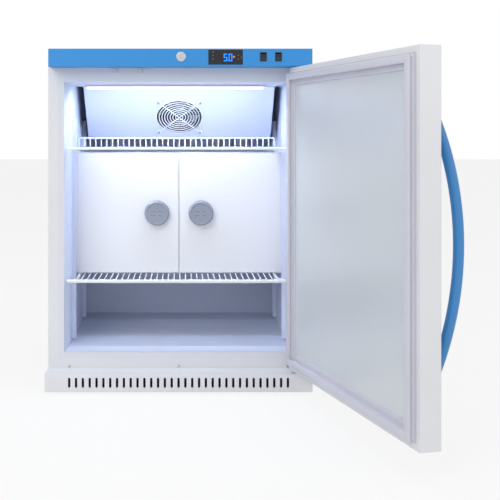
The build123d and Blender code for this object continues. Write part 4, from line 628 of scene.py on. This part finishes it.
def make_lower_shelf():
    """Wire shelf with a thick front bar."""
    wires, left, right, front, back, brace = 36, -239.5, 230.5, -264, 51, -106.5
    made = Pattern(
        "wire_shelf_lower", wires=wires, first=metres(left, front, 243.5),
        step=metres((right - left) / (wires - 1), 0, 0), length=metres(0, back - front, 0),
        wire=1.5 * MM, rail=3 * MM, bar=4.2 * MM,
    )
    line = made.node("GeometryNodeCurvePrimitiveLine", inputs={"End": made.size("length")})
    wire = made.swept(line, made.size("wire"), 10)
    wires = made.row(wire, made.size("wires"), made.size("first"), made.size("step"))
    bar = made.line(metres(-258.5, front, 240.8), metres(249.5, front, 240.8))
    ends = [((left, front), (left, back)), ((right, front), (right, back))]
    ends += [((left, back), (right, back)), ((left, brace), (right, brace))]
    rails = []
    for start, end in ends:
        rail = made.line(metres(*start, 240), metres(*end, 240))
        rails.append(made.swept(rail, made.size("rail"), 14))
    mesh = made.baked(made.joined(wires, made.swept(bar, made.size("bar"), 20), *rails), "white_coated_wire")
    put("wire_shelf_lower", mesh, None, "cabinet", ["lower_shelf"])


def make_fan_guard():
    """Rings on two crossed wires, laid on the sloping cover."""
    made = Pattern("fan_guard_wires", rings=8, pitch=6.9 * MM, outer=57.6 * MM, wire=1.2 * MM)
    ring = made.node("GeometryNodeCurvePrimitiveCircle", inputs={"Resolution": 72, "Radius": 1.0})
    points = made.node(
        "GeometryNodeMeshLine", inputs={"Count": made.size("rings"), "Offset": (0.0, 0.0, 0.0)}
    )
    index = made.node("GeometryNodeInputIndex")
    reach = made.size("outer") - index * made.size("pitch")
    rings = made.node(
        "GeometryNodeInstanceOnPoints", inputs={"Points": points, "Instance": ring, "Scale": reach}
    )
    rings = made.swept(made.node("GeometryNodeRealizeInstances", inputs={0: rings}), made.size("wire"), 10)
    spokes = []
    for turn in (45, 135):
        way = (math.cos(math.radians(turn)), math.sin(math.radians(turn)))
        ends = [tuple(sign * 66 * MM * part for part in way) + (1.0 * MM,) for sign in (-1, 1)]
        spokes.append(made.swept(made.line(*ends), made.size("wire"), 10))
    mesh = made.baked(made.joined(rings, *spokes), "white_coated_wire")
    slope = math.radians(45)
    back = Vector((0, -math.sin(slope), -math.cos(slope)))
    across = Vector((1, 0, 0))
    up = back.cross(across)
    matrix = Matrix((across, up, back)).transposed().to_4x4()
    mesh.transform(Matrix.Translation((0, 0, 1.5 * MM)))
    mesh.transform(Matrix.Translation(metres(*FAN_CENTRE)) @ matrix)
    put("fan_guard_wires", mesh, None, "cabinet", ())


# Strokes of each numeral, and how far printed and lit marks stand out of and sink into the window
SEGMENTS = {"5": "acdfg", "0": "abcdef"}
FIGURE_PROUD = 0.08
MARK_PROUD = 0.06
PRINT_SUNK = 0.1


def digit(shape, sign, x0, x1, z0, z1, y):
    """A seven-segment numeral of flat bars."""
    bar, middle = 2.0, (z0 + z1) / 2
    places = {
        "a": (x0, x1, z1 - bar, z1),
        "b": (x1 - bar, x1, middle, z1),
        "c": (x1 - bar, x1, z0, middle),
        "d": (x0, x1, z0, z0 + bar),
        "e": (x0, x0 + bar, z0, middle),
        "f": (x0, x0 + bar, middle, z1),
        "g": (x0, x1, middle - bar / 2, middle + bar / 2),
    }
    for name in SEGMENTS[sign]:
        left, right, bottom, top = places[name]
        slab(shape, (left, y - FIGURE_PROUD, bottom), (right, y + PRINT_SUNK, top))


def make_display():
    """Lit figures and small marks on the dark window."""
    y, foot, top = FACE - 0.4, 743.6, 760.2
    figures = bmesh.new()
    digit(figures, "5", 101.1, 108.9, foot, top, y)
    digit(figures, "0", 112.0, 120.2, foot, top, y)
    slab(figures, (109.7, y - FIGURE_PROUD, foot), (111.3, y + PRINT_SUNK, 745.4))
    put("display_figures", mesh_from("display_figures", figures), "digit_glow", "cabinet")
    dash = bmesh.new()
    slab(dash, (122.0, y - FIGURE_PROUD, 751.6), (126.2, y + PRINT_SUNK, 755.4))
    put("display_dash", mesh_from("display_dash", dash), "amber_glow", "cabinet")
    marks = bmesh.new()
    crosses = [(77.1, 764, 1.6), (77.1, 756.4, 1.6), (77.1, 748.6, 1.6)]
    crosses += [(133.8, 756.5, 1.3), (133.8, 747.9, 1.3), (141, 752.4, 1.6)]
    thin = 0.5
    for x, z, half in crosses:
        slab(marks, (x - half, y - MARK_PROUD, z - thin), (x + half, y + PRINT_SUNK, z + thin))
        slab(marks, (x - thin, y - MARK_PROUD, z - half), (x + thin, y + PRINT_SUNK, z + half))
    put("display_marks", mesh_from("display_marks", marks), "pale_print", "cabinet")


make_camera()
make_studio()
dress_nodes()
make_handle()
make_gasket()
make_knob(-1, "left")
make_knob(1, "right")
make_lower_shelf()
make_fan_guard()
make_display()
